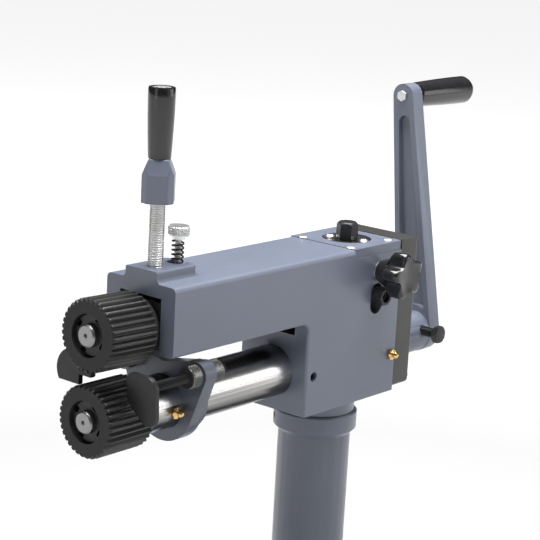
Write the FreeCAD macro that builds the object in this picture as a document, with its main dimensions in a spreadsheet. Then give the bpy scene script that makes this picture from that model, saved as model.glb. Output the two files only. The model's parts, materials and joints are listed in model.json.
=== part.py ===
"""Hand cranked bead roller: two meshing shafts in a cast C frame on a bench pedestal.

Millimetres. X runs along the machine, with the rolls at -X and the crank at +X.
Z is up. The origin is the column's axis on the underside of the foot.
Heights in the size sheet are measured from the lower shaft's axis, unless they say otherwise.
The upper shaft's pieces are drawn parallel to the lower shaft and then tipped about the pivot
by rest_tilt, because the lift spring holds the rolls open.
"""
import FreeCAD, Part
import Sketcher
import math
import os
import re

Vector = FreeCAD.Vector
Rotation = FreeCAD.Rotation
Placement = FreeCAD.Placement

SIZES = [
    # pedestal
    ("foot_diameter", 240), ("foot_thickness", 14), ("foot_bolt_circle", 200),
    ("foot_bolt_hole", 13), ("foot_bolt_count", 4), ("foot_edge", 2),
    ("shaft_height", 300), ("column_diameter", 69.5), ("column_wall", 4),
    ("collar_diameter", 80), ("collar_top", -49), ("collar_straight", 17),
    ("collar_taper", 5.5), ("collar_edge", 1.4),
    ("lock_screw_diameter", 8), ("lock_screw_depth", 9), ("lock_screw_angle", 50),
    # cast frame
    ("frame_width", 80), ("beam_front", -246.5), ("wall_x", -68), ("casting_rear", 67.8),
    ("beam_top", 111.5), ("beam_bottom", 51.6), ("block_bottom", -37.1),
    ("channel_width", 48), ("channel_top", 100), ("channel_floor", 38),
    ("beam_edge", 4.5), ("corner_edge", 2.5), ("throat_fillet", 7),
    ("nose_length", 50), ("nose_width", 37), ("nose_top", 121.5), ("nose_corner", 6),
    ("nose_edge", 1.6), ("nose_root", 4),
    ("spigot_flange_diameter", 74), ("spigot_length", 72), ("spigot_clearance", 0.08),
    ("seat_gap", 0.3),
    # lower tube and its shaft
    ("tube_front", -248), ("tube_diameter", 48), ("tube_bore", 34), ("tube_seat", 80),
    ("shaft_diameter", 25), ("seat_diameter", 22), ("rear_diameter", 20), ("nose_diameter", 19.6),
    ("bush_length", 30), ("bush_flange", 1.5), ("bush_flange_diameter", 42),
    ("running_clearance", 0.05), ("rear_bush_diameter", 34),
    ("set_screw_x", -56.9), ("set_screw_diameter", 9), ("set_screw_recess", 3),
    # forming rolls
    ("roll_front", -307), ("roll_length", 57.2), ("roll_tip_diameter", 62.6),
    ("roll_root_diameter", 56.4), ("roll_teeth", 34), ("roll_tip_share", 0.24),
    ("roll_root_share", 0.14), ("roll_tooth_length", 50.2), ("roll_shoulder_diameter", 54),
    ("roll_face_diameter", 59.6), ("roll_chamfer", 1.8),
    ("recess_diameter", 36.4), ("recess_depth", 13), ("locknut_diameter", 34.8),
    ("locknut_thickness", 9), ("locknut_notch_width", 5.5), ("locknut_notch_depth", 4),
    ("nose_reach", 1.8), ("nose_chamfer", 1.5), ("centre_hole", 4),
    ("key_width", 6), ("key_length", 26), ("key_height", 3),
    # upper housing
    ("axis_spacing", 64), ("rest_tilt", 1.66), ("pivot_x", 32.5),
    ("housing_front", -247.5), ("housing_rear", 46), ("housing_width", 46.6),
    ("housing_top", 24), ("housing_bore", 30), ("housing_edge", 1.5),
    ("fork_start", 16.5), ("fork_gap", 34), ("fork_floor", -19),
    ("upper_rear_bush_end", 14.5), ("upper_bush_length", 26),
    ("block_length", 27), ("block_width", 33.6), ("block_low", -17), ("block_high", 27),
    ("block_bore", 25), ("pivot_shoulder", 18), ("pivot_thread", 10), ("pivot_head_out", 7.9),
    ("pivot_nut_flats", 16.5), ("pivot_nut_height", 11), ("pivot_nut_gap", 0.4),
    ("pivot_socket", 5), ("pivot_socket_depth", 5), ("pivot_clearance", 0.06),
    ("slot_width", 18.4), ("slot_low", 45.4), ("slot_high", 75.3),
    # gears
    ("gear_module", 4), ("gear_teeth", 16), ("gear_addendum", 2.3), ("gear_dedendum", 3.9),
    ("gear_backlash", 2.3), ("gear_width", 16), ("gear_start", 49.5), ("gear_room", 0.8),
    ("gear_cavity_start", 47.5), ("gear_lift", 3),
    # rear cover
    ("cover_depth", 27.3), ("cover_bottom", -34), ("cover_top", 112.8), ("cover_wall", 3),
    ("cover_back", 5), ("cover_edge", 4), ("cover_screw_y", 34), ("cover_screw_low", -27),
    ("cover_screw_high", 98), ("small_screw", 5), ("small_head", 9), ("small_socket_depth", 2),
    ("cover_bush_diameter", 30),
    # top plate and adjusting spindle
    ("plate_front", -3.8), ("plate_top", 112.2), ("plate_thickness", 8.7), ("plate_inset", 1),
    ("plate_screw_front", 2), ("plate_screw_rear", 60), ("plate_screw_y", 28.8),
    ("plate_screw_head", 11), ("plate_screw_cap", 1.1), ("plate_screw_depth", 12), ("window_diameter", 47),
    ("flange_diameter", 46.4), ("flange_top", 110.2), ("flange_bore", 20.4),
    ("flange_screw_radius", 17.5), ("flange_screw_angle", 105), ("flange_screw_head", 11.4),
    ("spindle_across_flats", 18.2), ("spindle_top", 128), ("spindle_lower_across_flats", 18.2),
    ("spindle_flange_diameter", 27), ("spindle_flange_thickness", 3),
    ("spindle_thread", 16), ("spindle_end", 82), ("spindle_clearance", 0.3),
    # pressure screw
    ("press_x", -230), ("press_diameter", 13.6), ("press_foot_diameter", 10.4),
    ("press_foot_height", 4.4), ("press_foot_gap", 0.3), ("hub_bottom", 176),
    ("hub_height", 24), ("hub_cone", 13.2), ("hub_width", 27.5), ("hub_corner", 5),
    ("hub_neck", 17), ("hub_turn", 39.7), ("handle_top", 272.6), ("handle_low_diameter", 20),
    ("handle_diameter", 23), ("handle_taper", 30),
    # lift screw and spring
    ("lift_x", -205), ("lift_hole", 16.5), ("lift_hole_depth", 8), ("lift_diameter", 6),
    ("lift_head_diameter", 18.8), ("lift_head_bottom", 137.2), ("lift_head_height", 9),
    ("lift_collar_diameter", 10.8), ("lift_collar_height", 3), ("lift_through_hole", 9.4),
    ("lift_hole_shift", 0.9),
    ("spring_diameter", 9.6), ("spring_wire", 1.6), ("spring_turns", 6.5),
    ("spring_tail", 1.6), ("lift_thread_depth", 8),
    # star knob
    ("knob_x", 34), ("knob_z", 87.5), ("knob_diameter", 45), ("knob_thickness", 19),
    ("knob_stand", 16.5), ("knob_lobes", 5), ("knob_lobe_diameter", 17), ("knob_hub", 21), ("knob_neck", 32),
    ("knob_stud", 10), ("knob_washer", 18), ("knob_washer_thickness", 2.5),
    # guide bracket
    ("bracket_front", -215), ("bracket_thickness", 14), ("bracket_ring", 71),
    ("bracket_hub", 60), ("bracket_hub_length", 12), ("guide_y", 38), ("guide_z", 31.5),
    ("ear_diameter", 23), ("saddle_top", 42), ("saddle_low", 33), ("saddle_radius", 50),
    ("rod_diameter", 8.6), ("rod_rear", -180), ("guide_nut_diameter", 20), ("guide_nut_length", 12),
    ("nut_gap", 0.3), ("disc_front", -286), ("disc_thickness", 5),
    ("disc_top_y", -34), ("disc_top_z", 38), ("disc_top_radius", 8.5),
    ("disc_outer_y", -48), ("disc_outer_z", 35), ("disc_outer_radius", 11),
    ("disc_low_y", -51), ("disc_low_z", 13), ("disc_low_radius", 9),
    ("disc_inner_y", -31.5), ("disc_inner_z", 24), ("disc_inner_radius", 5),
    ("far_disc_radius", 19.6), ("far_disc_flat", 10.4), ("far_disc_inner", 8.2),
    ("far_lip_y", 17), ("far_lip_z", 32.4), ("far_lip_height", 4.6),
    ("bracket_screw_diameter", 8),
    # crank
    ("hub_front", 110), ("hub_diameter", 42), ("arm_front", 154), ("arm_thickness", 16.5),
    ("arm_length", 239), ("arm_hub_diameter", 43), ("arm_tip_diameter", 24),
    ("arm_lean", 7.9), ("arm_edge", 1.5), ("pocket_depth", 6), ("pocket_border", 6),
    ("pocket_hub_radius", 27), ("pocket_end", 219), ("clamp_x", 143), ("clamp_z", 5.5),
    ("clamp_diameter", 10), ("clamp_reach", 35.5), ("clamp_depth", 11.2), ("clamp_head", 16),
    ("clamp_head_height", 6.4), ("grip_gap", 3), ("grip_length", 92), ("grip_diameter", 28.2),
    ("grip_root_diameter", 24.5), ("grip_round", 9), ("axle_diameter", 8), ("axle_head", 10),
    ("axle_head_height", 3), ("axle_depth", 80),
    # grease nipples
    ("nipple_hex", 10), ("nipple_ball", 6.5), ("nipple_stem", 5), ("nipple_length", 9.2), ("nipple_seat",
                                                                                          0.4),
    ("tube_nipple_x", -223), ("tube_nipple_z", -3), ("block_nipple_x", 61), ("block_nipple_z", 0.5),
]

TINY = 0.01       # how far a cutting tool runs past a face
CIRCLE = 360.0

doc = FreeCAD.newDocument("BeadRoller")
sheet = doc.addObject("Spreadsheet::Sheet", "Sizes")
for row, (alias, number) in enumerate(SIZES, start=1):
    sheet.set("A%d" % row, alias)
    sheet.set("B%d" % row, str(number))
    sheet.setAlias("B%d" % row, alias)
doc.recompute()

ALIASES = {alias for alias, number in SIZES}
parts = {}


def formula(text):
    """Turn 'tube_front + 2' into an expression that reads the sheet."""
    return re.sub(r"[a-z][a-z_]*", lambda m: "Sizes." + m[0] if m[0] in ALIASES else m[0], str(text))


def value(text):
    """The present value of a formula, for outlines that are worked out point by point."""
    return float(sheet.evalExpression(formula(text)))


def bind(thing, **formulas):
    """Bind properties to the sheet; a double underscore stands for a dot."""
    for name, text in formulas.items():
        thing.setExpression(name.replace("__", "."), formula(text))
    return thing


def up(height):
    """A height above the floor from a height above the lower shaft's axis."""
    return "shaft_height + (%s)" % height


TURN = {"X": Rotation(Vector(0, 1, 0), 90), "Y": Rotation(Vector(1, 0, 0), -90), "Z": Rotation()}


def place(thing, x, y, z, turn="Z"):
    thing.Placement = Placement(Vector(), TURN[turn])
    return bind(thing, Placement__Base__x=x, Placement__Base__y=y, Placement__Base__z=z)


def rod(name, axis, x, y, z, length, diameter):
    """A cylinder that starts at x, y, z and runs along the named axis."""
    thing = doc.addObject("Part::Cylinder", name)
    bind(thing, Radius="(%s) / 2" % diameter, Height=length)
    return place(thing, x, y, z, axis)


def cone(name, axis, x, y, z, length, first, last):
    """A cone from the diameter first to the diameter last."""
    thing = doc.addObject("Part::Cone", name)
    bind(thing, Radius1="(%s) / 2" % first, Radius2="(%s) / 2" % last, Height=length)
    return place(thing, x, y, z, axis)


def box(name, x, y, z, length, width, height):
    """A box from its low corner."""
    thing = doc.addObject("Part::Box", name)
    bind(thing, Length=length, Width=width, Height=height)
    return place(thing, x, y, z)


def prism(name, axis, x, y, z, length, across_flats, sides=6):
    """A regular prism, such as a hexagon head, along the named axis."""
    thing = doc.addObject("Part::Prism", name)
    thing.Polygon = sides
    bind(thing, Circumradius="(%s) / 2 / cos(180 / %d)" % (across_flats, sides), Height=length)
    return place(thing, x, y, z, axis)


def ball(name, x, y, z, diameter):
    thing = doc.addObject("Part::Sphere", name)
    bind(thing, Radius="(%s) / 2" % diameter)
    return place(thing, x, y, z)


def fuse(name, *shapes):
    thing = doc.addObject("Part::MultiFuse", name)
    thing.Shapes = list(shapes)
    thing.Refine = True
    return thing


def group(name, *shapes):
    """Several separate solids in one piece, such as a set of screws."""
    thing = doc.addObject("Part::Compound", name)
    thing.Links = list(shapes)
    return thing


def cut(name, base, *tools):
    tool = tools[0] if len(tools) == 1 else fuse(name + "_tools", *tools)
    thing = doc.addObject("Part::Cut", name)
    thing.Base = base
    thing.Tool = tool
    return thing


def overlap(name, first, second):
    thing = doc.addObject("Part::Common", name)
    thing.Base = first
    thing.Tool = second
    return thing


def rounded(name, base, picks):
    """Fillet the edges for which pick(edge) gives a radius."""
    doc.recompute()
    thing = doc.addObject("Part::Fillet", name)
    thing.Base = base
    chosen = []
    for index, edge in enumerate(base.Shape.Edges, start=1):
        radius = picks(edge)
        if radius:
            chosen.append((index, radius, radius))
    thing.Edges = chosen
    return thing


def solid(name, shape):
    """A piece whose shape comes straight from Part's own functions."""
    thing = doc.addObject("Part::Feature", name)
    thing.Shape = shape
    return thing


def keep(node, thing):
    """Give the finished piece its node name."""
    thing.Label = node
    parts[node] = thing
    return thing


def tip_up(thing):
    """Tip a piece that is drawn parallel about the upper housing's pivot."""
    thing.Placement = Placement(Vector(), Rotation(Vector(0, 1, 0), value("rest_tilt")))
    pivot_z = up("axis_spacing")
    return bind(
        thing, Placement__Rotation__Angle="rest_tilt",
        Placement__Base__x="pivot_x * (1 - cos(rest_tilt)) - (%s) * sin(rest_tilt)" % pivot_z,
        Placement__Base__z="pivot_x * sin(rest_tilt) + (%s) * (1 - cos(rest_tilt))" % pivot_z)


def extruded(points, axis_start, length):
    """A prism of a closed outline in the YZ plane, run along X."""
    outline = [Vector(axis_start, y, z) for y, z in points]
    face = Part.Face(Part.makePolygon(outline + outline[:1]))
    return face.extrude(Vector(length, 0, 0))


def spans(edge, axis):
    """How long an edge's box is along X, Y or Z."""
    room = edge.BoundBox
    return {"X": room.XLength, "Y": room.YLength, "Z": room.ZLength}[axis]


def is_line(edge, axis):
    """Whether an edge is a straight line along the named axis."""
    across = [a for a in "XYZ" if a != axis]
    return spans(edge, axis) > TINY and all(spans(edge, a) < TINY for a in across)


def near(first, second):
    return abs(first - second) < TINY


FLOOR = "0"
AXIS = up("0")
UPPER = up("axis_spacing")


def make_stand():
    """Foot, column and the screws that lock the head in it."""
    body = doc.addObject("PartDesign::Body", "FootBody")
    plane = next(f for f in body.Origin.OriginFeatures if f.Role == "XY_Plane")
    disc = body.newObject("Sketcher::SketchObject", "FootDisc")
    disc.AttachmentSupport = [(plane, "")]
    disc.MapMode = "FlatFace"
    disc.addGeometry(Part.Circle(Vector(), Vector(0, 0, 1), value("foot_diameter / 2")))
    disc.addConstraint([circle_centre(0), circle_size(0, "foot_diameter / 2")])
    bind_constraint(disc, 1, "foot_diameter / 2")
    pad = body.newObject("PartDesign::Pad", "FootPad")
    pad.Profile = disc
    bind(pad, Length="foot_thickness")
    hole = body.newObject("Sketcher::SketchObject", "FootHole")
    hole.AttachmentSupport = [(plane, "")]
    hole.MapMode = "FlatFace"
    place_on_circle = Vector(value("foot_bolt_circle / 2 * cos(45)"),
                             value("foot_bolt_circle / 2 * sin(45)"))
    hole.addGeometry(Part.Circle(place_on_circle, Vector(0, 0, 1), value("foot_bolt_hole / 2")))
    constraint = Sketcher.Constraint
    hole.addConstraint([
        constraint("DistanceX", -1, 1, 0, 3, place_on_circle.x),
        constraint("DistanceY", -1, 1, 0, 3, place_on_circle.y),
        circle_size(0, "foot_bolt_hole / 2")])
    bind_constraint(hole, 0, "foot_bolt_circle / 2 * cos(45)")
    bind_constraint(hole, 1, "foot_bolt_circle / 2 * sin(45)")
    bind_constraint(hole, 2, "foot_bolt_hole / 2")
    pocket = body.newObject("PartDesign::Pocket", "FootBoltHole")
    pocket.Profile = hole
    pocket.Type = 1
    pocket.Reversed = True
    pattern = body.newObject("PartDesign::PolarPattern", "FootBoltHoles")
    pattern.Originals = [pocket]
    pattern.Axis = (hole, ["N_Axis"])
    pattern.Angle = CIRCLE
    bind(pattern, Occurrences="foot_bolt_count")
    body.Tip = pattern
    keep("stand_foot", body)

    top = "collar_top - seat_gap"
    tube = rod("ColumnTube", "Z", "0", "0", "foot_thickness", "shaft_height + collar_top - foot_thickness",
               "column_diameter")
    taper = cone("CollarTaper", "Z", "0", "0", up("collar_top - collar_straight - collar_taper"),
                 "collar_taper", "column_diameter", "collar_diameter")
    straight = rod("CollarStraight", "Z", "0", "0", up("collar_top - collar_straight"),
                   "collar_straight - collar_edge", "collar_diameter")
    edge = cone("CollarEdge", "Z", "0", "0", up("collar_top - collar_edge"), "collar_edge",
                "collar_diameter", "collar_diameter - 2 * collar_edge")
    bore = rod("ColumnBore", "Z", "0", "0", "foot_thickness - 1", "shaft_height",
               "column_diameter - 2 * column_wall")
    screw_holes = [lock_screw("ColumnScrewHole%d" % side, side, 0) for side in (-1, 1)]
    column = cut("Column", fuse("ColumnOuter", tube, taper, straight, edge), bore, *screw_holes)
    keep("stand_column", column)

    screws = [cut("LockScrew%d" % side, lock_screw("LockScrewBody%d" % side, side, 0),
                  lock_screw("LockScrewSocket%d" % side, side, 1)) for side in (-1, 1)]
    keep("column_lock_screws", group("ColumnLockScrews", *screws))


def lock_screw(name, side, socket):
    """A grub screw, or its hexagon socket, on the collar's far side at a slant to +Y."""
    margin = "lock_screw_depth / 2" if socket else "spigot_clearance"
    inner = "(column_diameter / 2 - column_wall + %s)" % margin
    reach = "collar_diameter / 2 - %s" % inner
    middle = up("collar_top - collar_straight / 2")
    heading = "(90 + %d * lock_screw_angle)" % side
    if socket:
        thing = prism(name, "Z", "0", "0", "0", reach, "lock_screw_diameter / 2")
    else:
        thing = rod(name, "Z", "0", "0", "0", reach, "lock_screw_diameter")
    direction = value(heading)
    outward = Vector(math.cos(math.radians(direction)), math.sin(math.radians(direction)), 0)
    thing.Placement = Placement(Vector(), Rotation(Vector(0, 0, 1), outward))
    return bind(thing, Placement__Base__x="%s * cos(%s)" % (inner, heading),
                Placement__Base__y="%s * sin(%s)" % (inner, heading), Placement__Base__z=middle)


def circle_centre(index):
    """A constraint that puts a circle's centre on the sketch's origin."""
    return Sketcher.Constraint("Coincident", index, 3, -1, 1)


def circle_size(index, radius):
    return Sketcher.Constraint("Radius", index, value(radius))


def bind_constraint(sketch, index, text):
    sketch.setExpression("Constraints[%d]" % index, formula(text))


def make_frame():
    """The cast C frame: rear block, channelled beam, nose and spigot in one casting."""
    width = "frame_width"
    side = "-frame_width / 2"
    block = box("RearBlock", "wall_x", side, up("block_bottom"), "casting_rear - wall_x", width,
                "plate_top - plate_thickness - block_bottom")
    beam = box("Beam", "beam_front", side, up("beam_bottom"), "plate_front - beam_front", width,
               "beam_top - beam_bottom")
    nose = box("Nose", "beam_front", "-nose_width / 2", up("beam_bottom"), "nose_length", "nose_width",
               "nose_top - beam_bottom")
    top = value(up("beam_top"))
    nose_top = value(up("nose_top"))
    front = value("beam_front")
    nose_rear = value("beam_front + nose_length")
    frame_side = value("frame_width / 2")
    throat_x = value("wall_x")
    throat_z = value(up("beam_bottom"))

    def beam_edges(edge):
        middle = edge.BoundBox.Center
        return value("beam_edge") if is_line(edge, "X") and near(middle.z, top) else 0

    def nose_corners(edge):
        return value("nose_corner") if is_line(edge, "Z") and near(edge.BoundBox.Center.x, nose_rear) else 0

    def nose_edges(edge):
        room = edge.BoundBox
        on_top = near(room.ZMin, nose_top) and near(room.ZMax, nose_top)
        return value("nose_edge") if on_top and not near(room.XMax, front) else 0

    def nose_roots(edge):
        room = edge.BoundBox
        on_beam = near(room.ZMin, top) and near(room.ZMax, top)
        inner = abs(room.Center.y) < frame_side / 2 and room.XMax < nose_rear + TINY
        return value("nose_root") if on_beam and inner and not near(room.XMax, front) else 0

    def throat(edge):
        middle = edge.BoundBox.Center
        corner = is_line(edge, "Y") and near(middle.x, throat_x) and near(middle.z, throat_z)
        return value("throat_fillet") if corner else 0

    def profile(edge):
        room = edge.BoundBox
        on_side = near(abs(room.YMin), frame_side) and near(room.YMin, room.YMax)
        below = room.XMax < throat_x + value("throat_fillet") + TINY or room.XMin < throat_x - 1
        under = room.ZMax < throat_z + TINY and not is_line(edge, "Z") or near(room.XMax, throat_x)
        sole = near(room.ZMax, value(up("block_bottom")))
        return value("corner_edge") if on_side and below and under and not sole else 0

    beam = rounded("BeamRounded", beam, beam_edges)
    nose = rounded("NoseRounded", rounded("NoseCorners", nose, nose_corners), nose_edges)
    outer = rounded("FrameThroat", fuse("FrameOuter", block, beam, nose), throat)
    outer = rounded("FrameProfile", outer, profile)
    outer = rounded("FrameRounded", outer, nose_roots)
    flange = rod("SpigotFlange", "Z", "0", "0", up("collar_top + seat_gap"),
                 "block_bottom - collar_top - seat_gap + 1", "spigot_flange_diameter")
    spigot = rod("Spigot", "Z", "0", "0", up("collar_top - spigot_length"), "spigot_length + 1",
                 "column_diameter - 2 * column_wall - 2 * spigot_clearance")
    casting = fuse("FrameCasting", outer, flange, spigot)

    tools = [
        box("Channel", "beam_front - 1", "-channel_width / 2", up("channel_floor"),
            "gear_cavity_start - beam_front + 2", "channel_width", "channel_top - channel_floor"),
        rod("TubeSeat", "X", "wall_x - 1", "0", AXIS, "tube_seat + 1",
            "tube_diameter + 2 * running_clearance"),
        rod("RearBushSeat", "X", "wall_x", "0", AXIS, "casting_rear - wall_x", "rear_bush_diameter"),
        rod("GearRoomLow", "X", "gear_cavity_start", "0", AXIS, "casting_rear - gear_cavity_start + 1",
            "gear_module * gear_teeth + 2 * gear_addendum + 2 * gear_room"),
        rod("GearRoomHigh", "X", "gear_cavity_start", "0", up("axis_spacing + gear_lift"),
            "casting_rear - gear_cavity_start + 1",
            "gear_module * gear_teeth + 2 * gear_addendum + 2 * gear_room"),
        box("GearRoomMiddle", "gear_cavity_start",
            "-(gear_module * gear_teeth / 2 + gear_addendum + gear_room)", AXIS,
            "casting_rear - gear_cavity_start + 1",
            "gear_module * gear_teeth + 2 * gear_addendum + 2 * gear_room", "axis_spacing + gear_lift"),
        rod("SpindleHole", "Z", "pivot_x", "0", up("channel_top - 1"), "20", "flange_bore + 4"),
        rod("PressHole", "Z", "press_x", "0", up("channel_top - 1"), "nose_top - channel_top + 2",
            "press_diameter + 2 * running_clearance"),
        rod("LiftHole", "Z", "lift_x + lift_hole_shift", "0", up("channel_top - 1"),
            "nose_top - channel_top + 2", "lift_through_hole"),
        rod("LiftPocket", "Z", "lift_x + lift_hole_shift", "0", up("nose_top - lift_hole_depth"),
            "lift_hole_depth + 1", "lift_hole"),
        rod("KnobHole", "Y", "knob_x", "-frame_width / 2 - 1", up("knob_z"),
            "(frame_width - channel_width) / 2 + 2", "knob_stud + 2 * running_clearance"),
        rod("SetScrewHole", "Y", "set_screw_x", "-frame_width / 2 - 1", AXIS,
            "(frame_width - tube_diameter) / 2 + 1", "set_screw_diameter"),
        rod("NippleHole", "Y", "block_nipple_x - 12", "-frame_width / 2 - 1", up("block_nipple_z"), "1",
            "nipple_stem"),
    ]
    for low_y, label in (("-frame_width / 2 - 1", "Near"), ("channel_width / 2 - 1", "Far")):
        depth = "(frame_width - channel_width) / 2 + 2"
        tools.append(box("Slot" + label, "pivot_x - slot_width / 2", low_y, up("slot_low + slot_width / 2"),
                         "slot_width", depth, "slot_high - slot_low - slot_width"))
        for level, end in (("slot_low + slot_width / 2", "Low"), ("slot_high - slot_width / 2", "High")):
            tools.append(rod("Slot" + label + end, "Y", "pivot_x", low_y, up(level), depth, "slot_width"))
    for index, (x, y) in enumerate(plate_screw_places()):
        tools.append(rod("PlateScrewHole%d" % index, "Z", x, y,
                         up("plate_top - plate_thickness - plate_screw_depth"),
                         "plate_screw_depth + 1", "small_screw"))
    for index, (y, z) in enumerate(cover_screw_places()):
        tools.append(rod("CoverScrewHole%d" % index, "X", "casting_rear - 14", y, up(z), "15",
                         "small_screw"))
    for index, (x, y) in enumerate(flange_screw_places()):
        tools.append(rod("FlangeScrewHole%d" % index, "Z", x, y, up("channel_top - 1"), "20", "small_screw"))
    keep("frame_casting", cut("Frame", casting, *tools))


def plate_screw_places():
    return [(x, y) for x in ("plate_screw_front", "plate_screw_rear")
            for y in ("-plate_screw_y", "plate_screw_y")]


def cover_screw_places():
    return [(y, z) for y in ("-cover_screw_y", "cover_screw_y")
            for z in ("cover_screw_low", "cover_screw_high")]


def flange_screw_places():
    places = []
    for side in (0, 180):
        angle = "(flange_screw_angle + %d)" % side
        places.append(("pivot_x + flange_screw_radius * cos(%s)" % angle,
                       "flange_screw_radius * sin(%s)" % angle))
    return places


def make_lower_tube():
    """The tube that carries the lower shaft, its bushes, its set screw and the grease nipples."""
    tube = rod("TubeOuter", "X", "tube_front", "0", AXIS, "wall_x + tube_seat - tube_front", "tube_diameter")
    bore = rod("TubeBore", "X", "tube_front - 1", "0", AXIS, "wall_x + tube_seat - tube_front + 2",
               "tube_bore")
    seat = rod("TubeNippleSeat", "Y", "tube_nipple_x", "-tube_diameter / 2 - 1", up("tube_nipple_z"),
               "nipple_seat + 1.05", "nipple_hex * 1.155 + 0.6")
    keep("lower_tube", cut("Tube", tube, bore, seat))

    front = bush("LowerFrontBush", "tube_front", "bush_length", AXIS, "tube_bore",
                 "tube_front - bush_flange")
    rear = bush("LowerRearBush", "wall_x + tube_seat", "gear_cavity_start - wall_x - tube_seat", AXIS,
                "rear_bush_diameter", None)
    keep("lower_bushes", group("LowerBushes", front, rear))

    screw = rod("SetScrewBody", "Y", "set_screw_x", "-frame_width / 2 + set_screw_recess", AXIS,
                "(frame_width - tube_diameter) / 2 - set_screw_recess", "set_screw_diameter")
    socket = prism("SetScrewSocket", "Y", "set_screw_x", "-frame_width / 2 + set_screw_recess - 1", AXIS,
                   "5",
                   "set_screw_diameter / 2")
    keep("tube_set_screw", cut("SetScrew", screw, socket))

    tube_nipple = nipple("TubeNipple", "tube_nipple_x", "-tube_diameter / 2 + nipple_seat", "tube_nipple_z")
    block_nipple = nipple("BlockNipple", "block_nipple_x", "-frame_width / 2", "block_nipple_z")
    keep("grease_nipples", group("GreaseNipples", tube_nipple, block_nipple))


def nipple(name, x, seat, z):
    """A ball-headed grease nipple that points to -Y from its seat."""
    hexagon = prism(name + "Hex", "Y", x, "%s - nipple_length * 0.35" % seat, up(z), "nipple_length * 0.35",
                    "nipple_hex")
    stem = rod(name + "Stem", "Y", x, "%s - nipple_length * 0.75" % seat, up(z), "nipple_length * 0.5",
               "nipple_stem * 0.8")
    head = ball(name + "Ball", x, "%s - nipple_length + nipple_ball / 2" % seat, up(z), "nipple_ball")
    return fuse(name, hexagon, stem, head)


def bush(name, x, length, z, outer, flange_x):
    """A plain bearing bush; flange_x is where its flange starts, or None."""
    body = rod(name + "Body", "X", x, "0", z, length, outer)
    if flange_x:
        flange = rod(name + "Flange", "X", flange_x, "0", z, "bush_flange", "bush_flange_diameter")
        body = fuse(name + "Outer", body, flange)
    hole = rod(name + "Hole", "X", "(%s) - bush_flange - 1" % x, "0", z, "(%s) + bush_flange + 2" % length,
               "shaft_diameter + 2 * running_clearance")
    return cut(name, body, hole)


def shaft(name, z, stretches):
    """A stepped shaft. stretches are (start, end, diameter); the nose gets its chamfer and centre."""
    nose = "roll_front - nose_reach"
    pieces = [
        cone(name + "NoseEdge", "X", nose, "0", z, "nose_chamfer", "nose_diameter - 2 * nose_chamfer",
             "nose_diameter"),
        rod(name + "Nose", "X", nose + " + nose_chamfer", "0", z,
            "recess_depth + nose_reach - nose_chamfer + 1", "nose_diameter"),
    ]
    for index, (start, end, diameter) in enumerate(stretches):
        pieces.append(rod("%sStretch%d" % (name, index), "X", start, "0", z, "(%s) - (%s)" % (end, start),
                          diameter))
    centre = cone(name + "Centre", "X", nose + " - 0.01", "0", z, "centre_hole", "centre_hole", "0.4")
    keyway = box(name + "Keyway", "roll_front + recess_depth + 6", "-key_width / 2",
                 z + " + seat_diameter / 2 - key_height", "key_length", "key_width", "key_height + 1")
    return cut(name, fuse(name + "Solid", *pieces), centre, keyway)


def roll(name, z, phase):
    """A crimping roll: a toothed ring with chamfered ends, a recess for the nut and a keyed bore."""
    count = int(round(value("roll_teeth")))
    pitch = 2 * math.pi / count
    tip = value("roll_tip_diameter / 2")
    root = value("roll_root_diameter / 2")
    height = value(z)
    points = []
    for tooth in range(count):
        middle = pitch * (tooth + phase)
        half_tip = pitch * value("roll_tip_share") / 2
        half_root = pitch * (1 - value("roll_root_share")) / 2
        for radius, offset in ((root, -half_root), (tip, -half_tip), (tip, half_tip), (root, half_root)):
            angle = middle + offset
            points.append((radius * math.sin(angle), height + radius * math.cos(angle)))
    teeth = solid(name + "Teeth", extruded(points, value("roll_front"), value("roll_tooth_length")))
    front = cone(name + "FrontEdge", "X", "roll_front", "0", z, "roll_chamfer", "roll_face_diameter",
                 "roll_tip_diameter + 0.2")
    rest = rod(name + "Envelope", "X", "roll_front + roll_chamfer", "0", z,
               "roll_tooth_length - roll_chamfer",
               "roll_tip_diameter + 0.2")
    toothed = overlap(name + "Toothed", teeth, fuse(name + "Limits", front, rest))
    shoulder = rod(name + "Shoulder", "X", "roll_front + roll_tooth_length - 1", "0", z,
                   "roll_length - roll_tooth_length", "roll_shoulder_diameter")
    shoulder_edge = cone(name + "ShoulderEdge", "X", "roll_front + roll_length - 1", "0", z, "1",
                         "roll_shoulder_diameter", "roll_shoulder_diameter - 2")
    recess = rod(name + "Recess", "X", "roll_front - 1", "0", z, "recess_depth + 1", "recess_diameter")
    bore = rod(name + "Bore", "X", "roll_front", "0", z, "roll_length + 1",
               "seat_diameter + 2 * running_clearance")
    keyway = box(name + "Keyway", "roll_front", "-key_width / 2", z, "roll_length + 1", "key_width",
                 "seat_diameter / 2 + key_height")
    return cut(name, fuse(name + "Solid", toothed, shoulder, shoulder_edge), recess, bore, keyway)


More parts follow.
